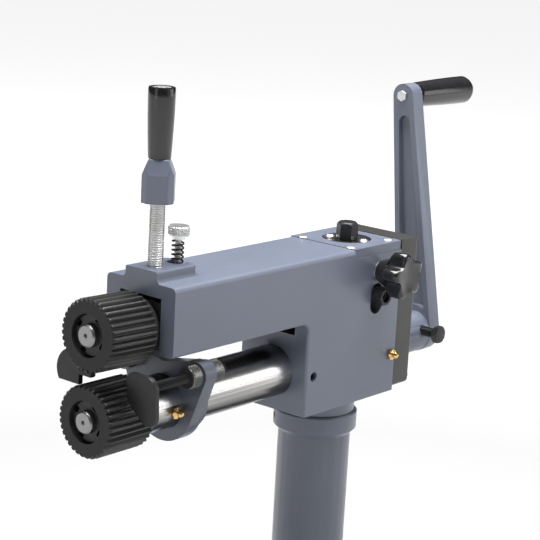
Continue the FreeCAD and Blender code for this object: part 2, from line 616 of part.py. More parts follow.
def locknut(name, z):
    """The round nut in the roll's recess, with four notches for its spanner."""
    front = "roll_front + recess_depth - locknut_thickness"
    body = rod(name + "Body", "X", front, "0", z, "locknut_thickness", "locknut_diameter")
    hole = rod(name + "Hole", "X", front + " - 1", "0", z, "locknut_thickness + 2",
               "nose_diameter + 2 * running_clearance")
    notches = []
    for turn in range(4):
        notch = box("%sNotch%d" % (name, turn), "0", "0", "0", "locknut_thickness + 2",
                    "locknut_notch_width",
                    "locknut_diameter")
        notch.Placement = Placement(Vector(), Rotation(Vector(1, 0, 0), 90 * turn + 30))
        angle = "(%d)" % (90 * turn + 30)
        reach = "(locknut_diameter / 2 - locknut_notch_depth)"
        bind(notch, Placement__Base__x=front + " - 1",
             Placement__Base__y="-%s * sin(%s) - locknut_notch_width / 2 * cos(%s)" % (reach, angle, angle),
             Placement__Base__z="%s + %s * cos(%s) - locknut_notch_width / 2 * sin(%s)" % (z, reach, angle,
                                                                                           angle))
        notches.append(notch)
    return cut(name, body, hole, *notches)


def key(name, z):
    """A feather key between a shaft's seat and its roll."""
    return box(name, "roll_front + recess_depth + 6 + 0.05", "-key_width / 2 + 0.02",
               z + " + seat_diameter / 2 - key_height + 0.02", "key_length - 0.1", "key_width - 0.04",
               "2 * key_height - 0.1")


def gear(name, z, bore, phase):
    """A spur gear with straight flanks at 20 degrees and room for the shaft's tilt."""
    count = int(round(value("gear_teeth")))
    module = value("gear_module")
    pitch_radius = module * count / 2
    tip = pitch_radius + value("gear_addendum")
    root = pitch_radius - value("gear_dedendum")
    slope = math.tan(math.radians(20))
    thickness = (math.pi * module - value("gear_backlash")) / 2
    height = value(z)
    points = []
    for tooth in range(count):
        middle = 2 * math.pi * (tooth + phase) / count
        half_tip = (thickness / 2 - (tip - pitch_radius) * slope) / tip
        half_root = (thickness / 2 + (pitch_radius - root) * slope) / root
        for radius, offset in ((root, -half_root), (tip, -half_tip), (tip, half_tip), (root, half_root)):
            angle = middle + offset
            points.append((radius * math.sin(angle), height + radius * math.cos(angle)))
    blank = solid(name + "Blank", extruded(points, value("gear_start"), value("gear_width")))
    hole = rod(name + "Hole", "X", "gear_start - 1", "0", z, "gear_width + 2", bore)
    return cut(name, blank, hole)


def make_lower_train():
    """Everything that turns with the crank."""
    seat_start = "roll_front + recess_depth"
    shoulder = "roll_front + roll_length"
    keep("lower_shaft", shaft("LowerShaft", AXIS, [
        (seat_start, shoulder, "seat_diameter"),
        (shoulder, "gear_start", "shaft_diameter"),
        ("gear_start", "arm_front + arm_thickness", "seat_diameter")]))
    keep("lower_roll", roll("LowerRoll", AXIS, 0.5))
    keep("lower_locknut", locknut("LowerLocknut", AXIS))
    keep("lower_roll_key", key("LowerRollKey", AXIS))
    keep("lower_gear", gear("LowerGear", AXIS, "seat_diameter + 2 * running_clearance", 0))


def make_upper_train():
    """The driven shaft with its roll and gear, tipped with the housing."""
    seat_start = "roll_front + recess_depth"
    shoulder = "roll_front + roll_length"
    keep("upper_shaft", tip_up(shaft("UpperShaft", UPPER, [
        (seat_start, shoulder, "seat_diameter"),
        (shoulder, "upper_rear_bush_end + 1", "shaft_diameter"),
        ("upper_rear_bush_end + 1", "gear_start + gear_width", "rear_diameter")])))
    keep("upper_roll", tip_up(roll("UpperRoll", UPPER, 0)))
    keep("upper_locknut", tip_up(locknut("UpperLocknut", UPPER)))
    upper_key = key("UpperRollKeyBody", UPPER)
    keep("upper_roll_key", tip_up(group("UpperRollKey", upper_key)))
    keep("upper_gear", tip_up(gear("UpperGear", UPPER, "rear_diameter + 2 * running_clearance", 0.5)))


def make_upper_housing():
    """The rocking housing that carries the upper shaft, with its bushes and rear pivot."""
    length = "housing_rear - housing_front"
    upper_half = box("HousingBlock", "housing_front", "-housing_width / 2", UPPER, length, "housing_width",
                     "housing_top")
    lower_half = rod("HousingRound", "X", "housing_front", "0", UPPER, length, "housing_width")
    outer = fuse("HousingOuter", upper_half, lower_half)
    tools = [
        rod("HousingBore", "X", "housing_front - 1", "0", UPPER, length + " + 2", "housing_bore"),
        rod("HousingFrontSeat", "X", "housing_front - 1", "0", UPPER, "bush_length + 1", "tube_bore"),
        rod("HousingRearSeat", "X", "upper_rear_bush_end - upper_bush_length", "0", UPPER,
            "fork_start - upper_rear_bush_end + upper_bush_length + 1", "tube_bore"),
        box("HousingFork", "fork_start", "-fork_gap / 2", up("axis_spacing + fork_floor"),
            "housing_rear - fork_start + 1", "fork_gap", "housing_top - fork_floor + 1"),
        rod("HousingPivot", "Y", "pivot_x", "-housing_width / 2 - 1", UPPER, "housing_width + 2",
            "pivot_shoulder + 2 * pivot_clearance"),
        rod("HousingLiftThread", "Z", "lift_x", "0", up("axis_spacing + housing_top - lift_thread_depth"),
            "lift_thread_depth + 1", "lift_diameter + 2 * running_clearance"),
    ]
    keep("upper_housing", tip_up(cut("Housing", outer, *tools)))

    front = bush("UpperFrontBush", "housing_front", "bush_length", UPPER, "tube_bore",
                 "housing_front - bush_flange")
    rear = bush("UpperRearBush", "upper_rear_bush_end - upper_bush_length", "upper_bush_length", UPPER,
                "tube_bore", None)
    keep("upper_bushes", tip_up(group("UpperBushes", front, rear)))

    block = box("PivotBlockBody", "pivot_x - block_length / 2", "-block_width / 2",
                up("axis_spacing + block_low"), "block_length", "block_width", "block_high - block_low")
    keep("pivot_block", cut(
        "PivotBlock", block,
        rod("PivotBlockBore", "X", "pivot_x - block_length", "0", UPPER, "2 * block_length", "block_bore"),
        rod("PivotBlockCross", "Y", "pivot_x", "-block_width", UPPER, "2 * block_width", "pivot_thread"),
        rod("PivotBlockThread", "Z", "pivot_x", "0", UPPER, "block_high + 1",
            "spindle_thread + 2 * running_clearance")))

    keep("pivot_screws", group("PivotScrews", pivot_screw("PivotScrewNear", -1),
                               pivot_screw("PivotScrewFar", 1)))
    keep("pivot_nuts", group("PivotNuts", pivot_nut("PivotNutNear", -1), pivot_nut("PivotNutFar", 1)))


def pivot_screw(name, side):
    """A shouldered stud; its shoulder is the pivot and slides in the casting's slot."""
    head_out = "(frame_width / 2 + pivot_head_out)"
    face = "(frame_width / 2 + pivot_nut_gap)"
    inner = "(block_width / 2)"
    thread_length = "((block_width - block_bore) / 2 - 0.4)"
    if side < 0:
        starts = ["-" + face, "-" + inner, "-" + head_out, "-%s - 1" % head_out]
    else:
        starts = [inner, "%s - %s" % (inner, thread_length), face, "%s - pivot_socket_depth" % head_out]
    shoulder = rod(name + "Shoulder", "Y", "pivot_x", starts[0], UPPER, "%s - %s" % (face, inner),
                   "pivot_shoulder")
    thread = rod(name + "Thread", "Y", "pivot_x", starts[1], UPPER, thread_length, "pivot_thread")
    end = rod(name + "End", "Y", "pivot_x", starts[2], UPPER, "%s - %s" % (head_out, face), "pivot_thread")
    socket = prism(name + "Socket", "Y", "pivot_x", starts[3], UPPER, "pivot_socket_depth + 1",
                   "pivot_socket")
    return cut(name, fuse(name + "Solid", shoulder, thread, end), socket)


def pivot_nut(name, side):
    """The hexagon nut that holds a pivot stud against the casting's side."""
    face = "frame_width / 2 + pivot_nut_gap"
    start = face if side > 0 else "-(%s + pivot_nut_height)" % face
    body = prism(name + "Body", "Y", "pivot_x", start, UPPER, "pivot_nut_height", "pivot_nut_flats")
    hole = rod(name + "Hole", "Y", "pivot_x", start + " - 1", UPPER, "pivot_nut_height + 2",
               "pivot_thread + 2 * running_clearance")
    return cut(name, body, hole)


def make_cover():
    """The gear cover on the rear face, its screws and the bush for the lower shaft."""
    outer = box("CoverOuter", "casting_rear", "-frame_width / 2", up("cover_bottom"), "cover_depth",
                "frame_width", "cover_top - cover_bottom")
    rear = value("casting_rear + cover_depth")
    side = value("frame_width / 2")
    bottom = value(up("cover_bottom"))

    def cover_edges(edge):
        middle = edge.BoundBox.Center
        on_rear = near(edge.BoundBox.XMin, rear)
        low_corner = is_line(edge, "X") and near(abs(middle.y), side) and near(middle.z, bottom)
        return value("cover_edge") if on_rear or low_corner else 0

    outer = rounded("CoverRounded", outer, cover_edges)
    room = box("CoverRoom", "casting_rear - 1", "-frame_width / 2 + cover_wall",
               up("cover_bottom + cover_wall"),
               "cover_depth - cover_back + 1", "frame_width - 2 * cover_wall",
               "cover_top - cover_bottom - 2 * cover_wall")
    hole = rod("CoverBushHole", "X", "casting_rear", "0", AXIS, "cover_depth + 1", "cover_bush_diameter")
    bosses = []
    screw_holes = []
    screws = []
    for index, (y, z) in enumerate(cover_screw_places()):
        bosses.append(rod("CoverPost%d" % index, "X", "casting_rear", y, up(z), "cover_depth - 1",
                          "small_head + 1.5"))
        screw_holes.append(rod("CoverScrewWay%d" % index, "X", "casting_rear - 1", y, up(z),
                               "cover_depth + 2",
                               "small_screw + 0.5"))
        seat = "casting_rear + cover_depth - small_head / 4"
        screw_holes.append(cone("CoverSink%d" % index, "X", seat, y, up(z), "small_head / 4 + 0.01",
                                "small_head / 2", "small_head"))
        shank = rod("CoverScrewShank%d" % index, "X", "casting_rear - 12", y, up(z),
                    "cover_depth + 12 - small_head / 4 + 0.5", "small_screw")
        head = cone("CoverScrewHead%d" % index, "X", seat + " + 0.1", y, up(z), "small_head / 4 - 0.1",
                    "small_head / 2 - 0.2", "small_head - 0.6")
        socket = prism("CoverScrewSocket%d" % index, "X", "casting_rear + cover_depth - small_socket_depth",
                       y, up(z), "small_socket_depth + 1", "small_screw * 0.6")
        screws.append(cut("CoverScrew%d" % index, fuse("CoverScrewSolid%d" % index, shank, head), socket))
    shell = fuse("CoverShell", cut("CoverHollow", outer, room), *bosses)
    keep("gear_cover", cut("Cover", shell, hole, *screw_holes))
    keep("gear_cover_screws", group("CoverScrews", *screws))
    body = rod("CoverBushBody", "X", "casting_rear + cover_depth - cover_back - 6", "0", AXIS,
               "cover_back + 8",
               "cover_bush_diameter")
    bore = rod("CoverBushBore", "X", "casting_rear", "0", AXIS, "cover_depth + 5",
               "seat_diameter + 2 * running_clearance")
    keep("cover_bush", cut("CoverBush", body, bore))


def make_top():
    """The top plate, the spindle's flange, the screws and the adjusting spindle."""
    bottom = up("plate_top - plate_thickness")
    plate = box("PlateBody", "plate_front", "-frame_width / 2 + plate_inset", bottom,
                "casting_rear - plate_front", "frame_width - 2 * plate_inset", "plate_thickness")
    window = rod("PlateWindow", "Z", "pivot_x", "0", up("plate_top - plate_thickness - 1"),
                 "plate_thickness + 2", "window_diameter")
    ways = []
    screws = []
    for index, (x, y) in enumerate(plate_screw_places()):
        ways.append(rod("PlateWay%d" % index, "Z", x, y, up("plate_top - plate_thickness - 1"),
                        "plate_thickness + 2", "small_screw + 0.5"))
        ways.append(cone("PlateSink%d" % index, "Z", x, y, up("plate_top - plate_screw_head / 4"),
                         "plate_screw_head / 4 + 0.01", "plate_screw_head / 2", "plate_screw_head"))
        shank = rod("PlateScrewShank%d" % index, "Z", x, y,
                    up("plate_top - plate_thickness - plate_screw_depth + 1"),
                    "plate_thickness + plate_screw_depth - 1 - plate_screw_head / 4 + 0.5", "small_screw")
        head = cone("PlateScrewHead%d" % index, "Z", x, y, up("plate_top - plate_screw_head / 4 + 0.1"),
                    "plate_screw_head / 4 - 0.1", "plate_screw_head / 2 - 0.2", "plate_screw_head - 0.6")
        cap = cone("PlateScrewCap%d" % index, "Z", x, y, up("plate_top"), "plate_screw_cap",
                   "plate_screw_head - 0.6", "plate_screw_head - 4.5")
        socket = prism("PlateScrewSocket%d" % index, "Z", x, y, up("plate_top - small_socket_depth"), "4",
                       "small_screw * 0.6")
        screws.append(cut("PlateScrew%d" % index, fuse("PlateScrewSolid%d" % index, shank, head, cap),
                          socket))
    keep("top_plate", cut("TopPlate", plate, window, *ways))
    keep("top_plate_screws", group("TopPlateScrews", *screws))

    disc = rod("FlangeDisc", "Z", "pivot_x", "0", bottom, "flange_top - plate_top + plate_thickness",
               "flange_diameter")
    bore = rod("FlangeBore", "Z", "pivot_x", "0", up("channel_top"), "20", "flange_bore")
    ways = []
    screws = []
    for index, (x, y) in enumerate(flange_screw_places()):
        ways.append(rod("FlangeWay%d" % index, "Z", x, y, up("channel_top"), "20", "small_screw + 0.5"))
        shank = rod("FlangeScrewShank%d" % index, "Z", x, y, up("channel_top"), "flange_top - channel_top",
                    "small_screw")
        head = rod("FlangeScrewHead%d" % index, "Z", x, y, up("flange_top"), "1.3", "flange_screw_head")
        crown = cone("FlangeScrewCrown%d" % index, "Z", x, y, up("flange_top + 1.3"), "2.1",
                     "flange_screw_head", "flange_screw_head * 0.55")
        socket = prism("FlangeScrewSocket%d" % index, "Z", x, y, up("flange_top + 1.4"), "3",
                       "small_screw * 0.6")
        screws.append(cut("FlangeScrew%d" % index, fuse("FlangeScrewSolid%d" % index, shank, head, crown),
                          socket))
    keep("spindle_flange", cut("SpindleFlange", disc, bore, *ways))
    keep("spindle_flange_screws", group("SpindleFlangeScrews", *screws))

    collar_top = "flange_top"
    hexagon = prism("SpindleHex", "Z", "pivot_x", "0", up(collar_top), "spindle_top - flange_top",
                    "spindle_across_flats")
    trim = cone("SpindleTrim", "Z", "pivot_x", "0", up("spindle_top - 2.5"), "2.51",
                "spindle_across_flats * 1.16", "spindle_across_flats * 0.9")
    trim_body = rod("SpindleTrimBody", "Z", "pivot_x", "0", up(collar_top), "spindle_top - flange_top - 2.5",
                    "spindle_across_flats * 1.16")
    head = overlap("SpindleHead", hexagon, fuse("SpindleLimits", trim, trim_body))
    journal = rod("SpindleJournal", "Z", "pivot_x", "0", up("channel_top - 1"),
                  "flange_top - channel_top + 1",
                  "flange_bore - 2 * running_clearance")
    collar = rod("SpindleCollar", "Z", "pivot_x", "0",
                 up("channel_top - spindle_clearance - spindle_flange_thickness"),
                 "spindle_flange_thickness", "spindle_flange_diameter")
    thread = rod("SpindleThread", "Z", "pivot_x", "0", up("spindle_end"), "channel_top - spindle_end",
                 "spindle_thread")
    keep("adjusting_spindle", fuse("AdjustingSpindle", head, journal, collar, thread))


def make_pressure_screw():
    """The screw that presses the upper housing down, with its foot, hub and handle."""
    foot_bottom = up("axis_spacing + housing_top * cos(rest_tilt) + (pivot_x - press_x) * sin(rest_tilt)"
                     " + press_foot_gap")
    foot = rod("PressFootBody", "Z", "press_x", "0", foot_bottom, "press_foot_height", "press_foot_diameter")
    keep("pressure_foot", foot)
    screw_bottom = "%s + press_foot_height" % foot_bottom
    screw = rod("PressScrewBody", "Z", "press_x", "0", screw_bottom,
                "shaft_height + hub_bottom + hub_height - (%s)" % screw_bottom, "press_diameter")
    keep("pressure_screw", screw)

    body = prism("PressHubBody", "Z", "press_x", "0", up("hub_bottom"), "hub_height + hub_cone",
                 "hub_width", 4)
    body.Placement = Placement(Vector(), Rotation(Vector(0, 0, 1), value("hub_turn + 45")))
    bind(body, Placement__Base__x="press_x", Placement__Base__z=up("hub_bottom"),
         Placement__Rotation__Angle="hub_turn + 45")
    corners = prism("PressHubCorners", "Z", "press_x", "0", up("hub_bottom"), "hub_height + hub_cone",
                    "hub_width * sqrt(2) - hub_corner * sqrt(2)", 4)
    corners.Placement = Placement(Vector(), Rotation(Vector(0, 0, 1), value("hub_turn")))
    bind(corners, Placement__Base__x="press_x", Placement__Base__z=up("hub_bottom"),
         Placement__Rotation__Angle="hub_turn")
    eight_sided = overlap("PressHubEight", body, corners)
    pyramid = solid("PressHubPyramid", hub_pyramid())
    straight = box("PressHubLimit", "press_x - hub_width", "-hub_width", up("hub_bottom"), "2 * hub_width",
                   "2 * hub_width", "hub_height")
    shaped = overlap("PressHubShape", eight_sided, fuse("PressHubLimits", straight, pyramid))
    hole = rod("PressHubHole", "Z", "press_x", "0", up("hub_bottom - 1"), "hub_height + 1", "press_diameter")
    keep("pressure_hub", cut("PressHub", shaped, hole))

    base = up("hub_bottom + hub_height + hub_cone")
    height = "handle_top - hub_bottom - hub_height - hub_cone"
    lower = cone("HandleTaper", "Z", "press_x", "0", base, "handle_taper", "handle_low_diameter",
                 "handle_diameter")
    upper = rod("HandleGrip", "Z", "press_x", "0", base + " + handle_taper", height + " - handle_taper - 2",
                "handle_diameter")
    dome = cone("HandleDome", "Z", "press_x", "0", up("handle_top - 2"), "2", "handle_diameter",
                "handle_diameter - 3")
    keep("pressure_handle", fuse("PressureHandle", lower, upper, dome))


def hub_pyramid():
    """The hub's sloping top as a loft between two squares."""
    low = value(up("hub_bottom + hub_height - 0.01"))
    high = value(up("hub_bottom + hub_height + hub_cone"))
    turn = math.radians(value("hub_turn"))
    centre_x = value("press_x")
    squares = []
    for level, width in ((low, value("hub_width") + 0.02), (high, value("hub_neck"))):
        corners = []
        for corner in range(4):
            angle = turn + math.radians(45 + 90 * corner)
            reach = width / math.sqrt(2)
            corners.append(Vector(centre_x + reach * math.cos(angle), reach * math.sin(angle), level))
        squares.append(Part.makePolygon(corners + corners[:1]))
    return Part.makeLoft(squares, True, True)


def make_lift_screw():
    """The knurled screw and spring that lift the housing, tipped with it."""
    seat = up("axis_spacing + housing_top - lift_thread_depth + 1")
    stem = rod("LiftStem", "Z", "lift_x", "0", seat, "shaft_height + lift_head_bottom + 1 - (%s)" % seat,
               "lift_diameter")
    head = rod("LiftHead", "Z", "lift_x", "0", up("lift_head_bottom"), "lift_head_height - 1",
               "lift_head_diameter")
    edge = cone("LiftHeadEdge", "Z", "lift_x", "0", up("lift_head_bottom + lift_head_height - 1"), "1",
                "lift_head_diameter", "lift_head_diameter - 2")
    keep("lift_screw", tip_up(fuse("LiftScrew", stem, head, edge)))
    collar = rod("LiftCollarBody", "Z", "lift_x", "0", up("lift_head_bottom - lift_collar_height"),
                 "lift_collar_height", "lift_collar_diameter")
    hole = rod("LiftCollarHole", "Z", "lift_x", "0", up("lift_head_bottom - lift_collar_height - 1"),
               "lift_collar_height + 2", "lift_diameter + 2 * running_clearance")
    keep("lift_collar", tip_up(cut("LiftCollar", collar, hole)))
    keep("lift_spring", solid("LiftSpring", spring_shape()))


def spring_shape():
    """The open coil spring: a wire on quarter-turn biarcs with a straight tail at each end."""
    coil_radius = value("spring_diameter / 2")
    wire = value("spring_wire / 2")
    tail = value("spring_tail")
    tilt = math.radians(value("rest_tilt"))
    pivot = Vector(value("pivot_x"), 0, value(UPPER))
    arm = Vector(value("lift_x"), 0, value(up("lift_head_bottom - lift_collar_height"))) - pivot
    collar_z = pivot.z + arm.z * math.cos(tilt) - arm.x * math.sin(tilt)
    collar_x = pivot.x + arm.x * math.cos(tilt) + arm.z * math.sin(tilt)
    seat_z = value(up("nose_top - lift_hole_depth"))
    low = seat_z + wire + 0.3
    high = collar_z - wire - 0.4
    centre_x = collar_x - (collar_z - seat_z) / 2 * math.tan(tilt)
    turns = value("spring_turns")
    steps = int(round(turns * 4))
    rise = (high - low) / turns

    def at(turn):
        angle = 2 * math.pi * turn
        return Vector(centre_x + coil_radius * math.cos(angle), coil_radius * math.sin(angle),
                      low + rise * turn)

    def heading(turn):
        angle = 2 * math.pi * turn
        way = Vector(-math.sin(angle) * coil_radius, math.cos(angle) * coil_radius, rise / (2 * math.pi))
        return way.normalize()

    edges = [Part.LineSegment(at(0) - heading(0) * tail, at(0)).toShape()]
    for step in range(steps):
        first = turns * step / steps
        last = turns * (step + 1) / steps
        edges += biarc(at(first), heading(first), at(last), heading(last))
    edges.append(Part.LineSegment(at(turns), at(turns) + heading(turns) * tail).toShape())
    path = Part.Wire(edges)
    circle = Part.Wire([Part.Circle(at(0) - heading(0) * tail, heading(0), wire).toShape()])
    shape = path.makePipeShell([circle], True, False)
    gap = self_gap(at, turns, wire)
    print("lift spring: least gap between its turns %.2f mm" % gap)
    return shape


def biarc(start, start_way, end, end_way):
    """Two arcs from start to end that leave and arrive along the given directions."""
    chord = end - start
    across = start_way + end_way
    a = 2 * (1 - start_way.dot(end_way))
    b = 2 * chord.dot(across)
    reach = (-b + math.sqrt(b * b + 4 * a * chord.dot(chord))) / (2 * a)
    first_knee = start + start_way * reach
    last_knee = end - end_way * reach
    middle = (first_knee + last_knee) * 0.5
    return [arc_from(start, start_way, middle), arc_from(middle, (last_knee - first_knee).normalize(), end)]


def arc_from(start, way, end):
    """The arc that leaves start along way and passes through end."""
    chord = end - start
    normal = chord - way * chord.dot(way)
    normal.normalize()
    radius = chord.dot(chord) / (2 * chord.dot(normal))
    centre = start + normal * radius
    middle = centre + ((start + end) * 0.5 - centre).normalize() * radius
    return Part.Arc(start, middle, end).toShape()


def self_gap(at, turns, wire_radius):
    """The least distance between points on different turns, less the wire's thickness."""
    samples = 60
    points = [(step / samples, at(step / samples)) for step in range(int(turns * samples) + 1)]
    least = min((p - q).Length for s, p in points for t, q in points if 0.5 < t - s < 1.5)
    return least - 2 * wire_radius


def make_star_knob():
    """The lobed knob that clamps the pivot block, with its stud and washer."""
    out = "-frame_width / 2 - knob_stand - knob_thickness"
    blank = rod("KnobBlank", "Y", "knob_x", out, up("knob_z"), "knob_thickness",
                "knob_diameter - knob_lobe_diameter * 0.75")
    lobes = []
    for lobe in range(int(round(value("knob_lobes")))):
        angle = "(%d * 360 / knob_lobes + 100)" % lobe
        reach = "(knob_diameter - knob_lobe_diameter) / 2"
        lobes.append(rod("KnobLobe%d" % lobe, "Y", "knob_x + %s * cos(%s)" % (reach, angle), out,
                         up("knob_z + %s * sin(%s)" % (reach,
                                                       angle)), "knob_thickness", "knob_lobe_diameter"))
    neck = cone("KnobNeck", "Y", "knob_x", "-frame_width / 2 - knob_stand", up("knob_z"),
                "knob_stand - knob_washer_thickness - nut_gap", "knob_neck", "knob_hub")
    stud_hole = rod("KnobHoleBore", "Y", "knob_x", "-frame_width / 2 - knob_stand - 8", up("knob_z"),
                    "knob_stand + 8", "knob_stud")
    keep("star_knob", cut("StarKnob", fuse("StarKnobSolid", blank, neck, *lobes), stud_hole))
    stud = rod("KnobStud", "Y", "knob_x", "-frame_width / 2 - knob_stand - 8", up("knob_z"),
               "knob_stand + 8 + (frame_width - housing_width) / 2 - 0.4", "knob_stud")
    keep("star_knob_stud", stud)
    washer = rod("KnobWasherBody", "Y", "knob_x", "-frame_width / 2 - knob_washer_thickness", up("knob_z"),
                 "knob_washer_thickness", "knob_washer")
    hole = rod("KnobWasherHole", "Y", "knob_x", "-frame_width / 2 - knob_washer_thickness - 1", up("knob_z"),
               "knob_washer_thickness + 2", "knob_stud + 2 * running_clearance")
    keep("star_knob_washer", cut("KnobWasher", washer, hole))


def tangent_hull(first, first_radius, second, second_radius):
    """The outline round two circles in the YZ plane as two tangent points on each circle."""
    gap = math.hypot(second[0] - first[0], second[1] - first[1])
    heading = math.atan2(second[1] - first[1], second[0] - first[0])
    swing = math.acos((first_radius - second_radius) / gap)
    points = []
    for side in (1, -1):
        angle = heading + side * swing
        points.append([(centre[0] + radius * math.cos(angle), centre[1] + radius * math.sin(angle))
                       for centre, radius in ((first, first_radius), (second, second_radius))])
    return points


def hull_web(name, x, length, first, first_radius, second, second_radius):
    """The four-sided web between two discs' tangent lines."""
    left, right = tangent_hull(first, first_radius, second, second_radius)
    outline = [left[0], left[1], right[1], right[0]]
    return solid(name, extruded(outline, value(x), value(length)))


def make_guides():
    """The bracket on the lower tube and the two adjustable guides that it carries."""
    ring = rod("BracketRing", "X", "bracket_front", "0", AXIS, "bracket_thickness", "bracket_ring")
    hub = rod("BracketHub", "X", "bracket_front + bracket_thickness", "0", AXIS, "bracket_hub_length",
              "bracket_hub")
    pieces = [ring, hub]
    height = value("shaft_height")
    ring_radius = value("bracket_ring / 2")
    ear_radius = value("ear_diameter / 2")
    for side, label in ((-1, "Near"), (1, "Far")):
        ear_place = (side * value("guide_y"), height + value("guide_z"))
        pieces.append(rod("BracketEar" + label, "X", "bracket_front", "%d * guide_y" % side, up("guide_z"),
                          "bracket_thickness", "ear_diameter"))
        pieces.append(hull_web("BracketWeb" + label, "bracket_front", "bracket_thickness", (0, height),
                               ring_radius, ear_place, ear_radius))
    pieces.append(cut(
        "BracketSaddle",
        box("BracketSaddleBlock", "bracket_front", "-guide_y", AXIS, "bracket_thickness", "2 * guide_y",
            "saddle_top"),
        rod("BracketSaddleRound", "X", "bracket_front - 1", "0", up("saddle_low + saddle_radius"),
            "bracket_thickness + 2", "2 * saddle_radius")))
    ways = [rod("BracketBore", "X", "bracket_front - 1", "0", AXIS,
                "bracket_thickness + bracket_hub_length + 2",
                "tube_diameter + 2 * running_clearance + 0.04")]
    for side, label in ((-1, "Near"), (1, "Far")):
        ways.append(rod("BracketWay" + label, "X", "bracket_front - 1", "%d * guide_y" % side, up("guide_z"),
                        "bracket_thickness + 2", "rod_diameter + 2 * running_clearance"))
    screw_x = "bracket_front + bracket_thickness + bracket_hub_length / 2"
    ways.append(rod("BracketScrewWay", "Z", screw_x, "0", up("-bracket_hub / 2 - 1"), "bracket_hub / 2",
                    "bracket_screw_diameter"))
    keep("guide_bracket", cut("GuideBracket", fuse("GuideBracketSolid", *pieces), *ways))
    length = "(bracket_hub - tube_diameter) / 2 + 2.7"
    grub = rod("BracketScrewBody", "Z", screw_x, "0", up("-bracket_hub / 2 - 3"), length,
               "bracket_screw_diameter")
    socket = prism("BracketScrewSocket", "Z", screw_x, "0", up("-bracket_hub / 2 - 4"), "4",
                   "bracket_screw_diameter / 2")
    keep("bracket_lock_screw", cut("BracketScrew", grub, socket))

    for side, label in ((-1, "near"), (1, "far")):
        y = "%d * guide_y" % side
        keep(label + "_guide_rod", rod(label + "GuideRod", "X", "disc_front + disc_thickness", y,
                                       up("guide_z"),
                                       "rod_rear - disc_front - disc_thickness", "rod_diameter"))
        nuts = (("front", "bracket_front - guide_nut_length - nut_gap"),
                ("rear", "bracket_front + bracket_thickness + nut_gap"))
        for end, start in nuts:
            name = "%s_%s_nut" % (label, end)
            body = rod(name + "Body", "X", start, y, up("guide_z"), "guide_nut_length", "guide_nut_diameter")
            hole = rod(name + "Hole", "X", start + " - 1", y, up("guide_z"), "guide_nut_length + 2",
                       "rod_diameter + 2 * running_clearance")
            keep(name, cut(name + "Nut", body, hole))
    keep("near_guide_disc", near_disc())
    keep("far_guide_disc", far_disc())


def near_disc():
    """A rounded four-cornered guide plate beside the rolls, with its tail down and outward."""
    height = value("shaft_height")
    corners = []
    pieces = []
    for corner in ("top", "outer", "low", "inner"):
        place_y, place_z, radius = ["disc_%s_%s" % (corner, what) for what in ("y", "z", "radius")]
        pieces.append(rod("NearDisc" + corner, "X", "disc_front", place_y, up(place_z), "disc_thickness",
                          "2 * " + radius))
        corners.append(((value(place_y), height + value(place_z)), value(radius)))
    for index, (first, first_radius) in enumerate(corners):
        second, second_radius = corners[(index + 1) % len(corners)]
        pieces.append(hull_web("NearDiscWeb%d" % index, "disc_front", "disc_thickness", first, first_radius,
                               second, second_radius))
    middle = [corner_place for corner_place, radius in corners]
    pieces.append(solid("NearDiscMiddle", extruded(middle, value("disc_front"), value("disc_thickness"))))
    return fuse("NearDisc", *pieces)


def far_disc():
    """A round guide disc with a flat below, a flat towards the rolls and a narrow lip on that flat."""
    disc = rod("FarDiscRound", "X", "disc_front", "guide_y", up("guide_z"), "disc_thickness",
               "2 * far_disc_radius")
    window = box("FarDiscFlats", "disc_front", "guide_y - far_disc_inner", up("guide_z - far_disc_flat"),
                 "disc_thickness", "far_disc_inner + far_disc_radius", "far_disc_flat + far_disc_radius")
    lip = box("FarDiscLip", "disc_front", "far_lip_y", up("far_lip_z - far_lip_height / 2"),
              "disc_thickness",
              "guide_y - far_lip_y", "far_lip_height")
    lip_end = rod("FarDiscLipEnd", "X", "disc_front", "far_lip_y", up("far_lip_z"), "disc_thickness",
                  "far_lip_height")
    return fuse("FarDisc", overlap("FarDiscFlatted", disc, window), lip, lip_end)


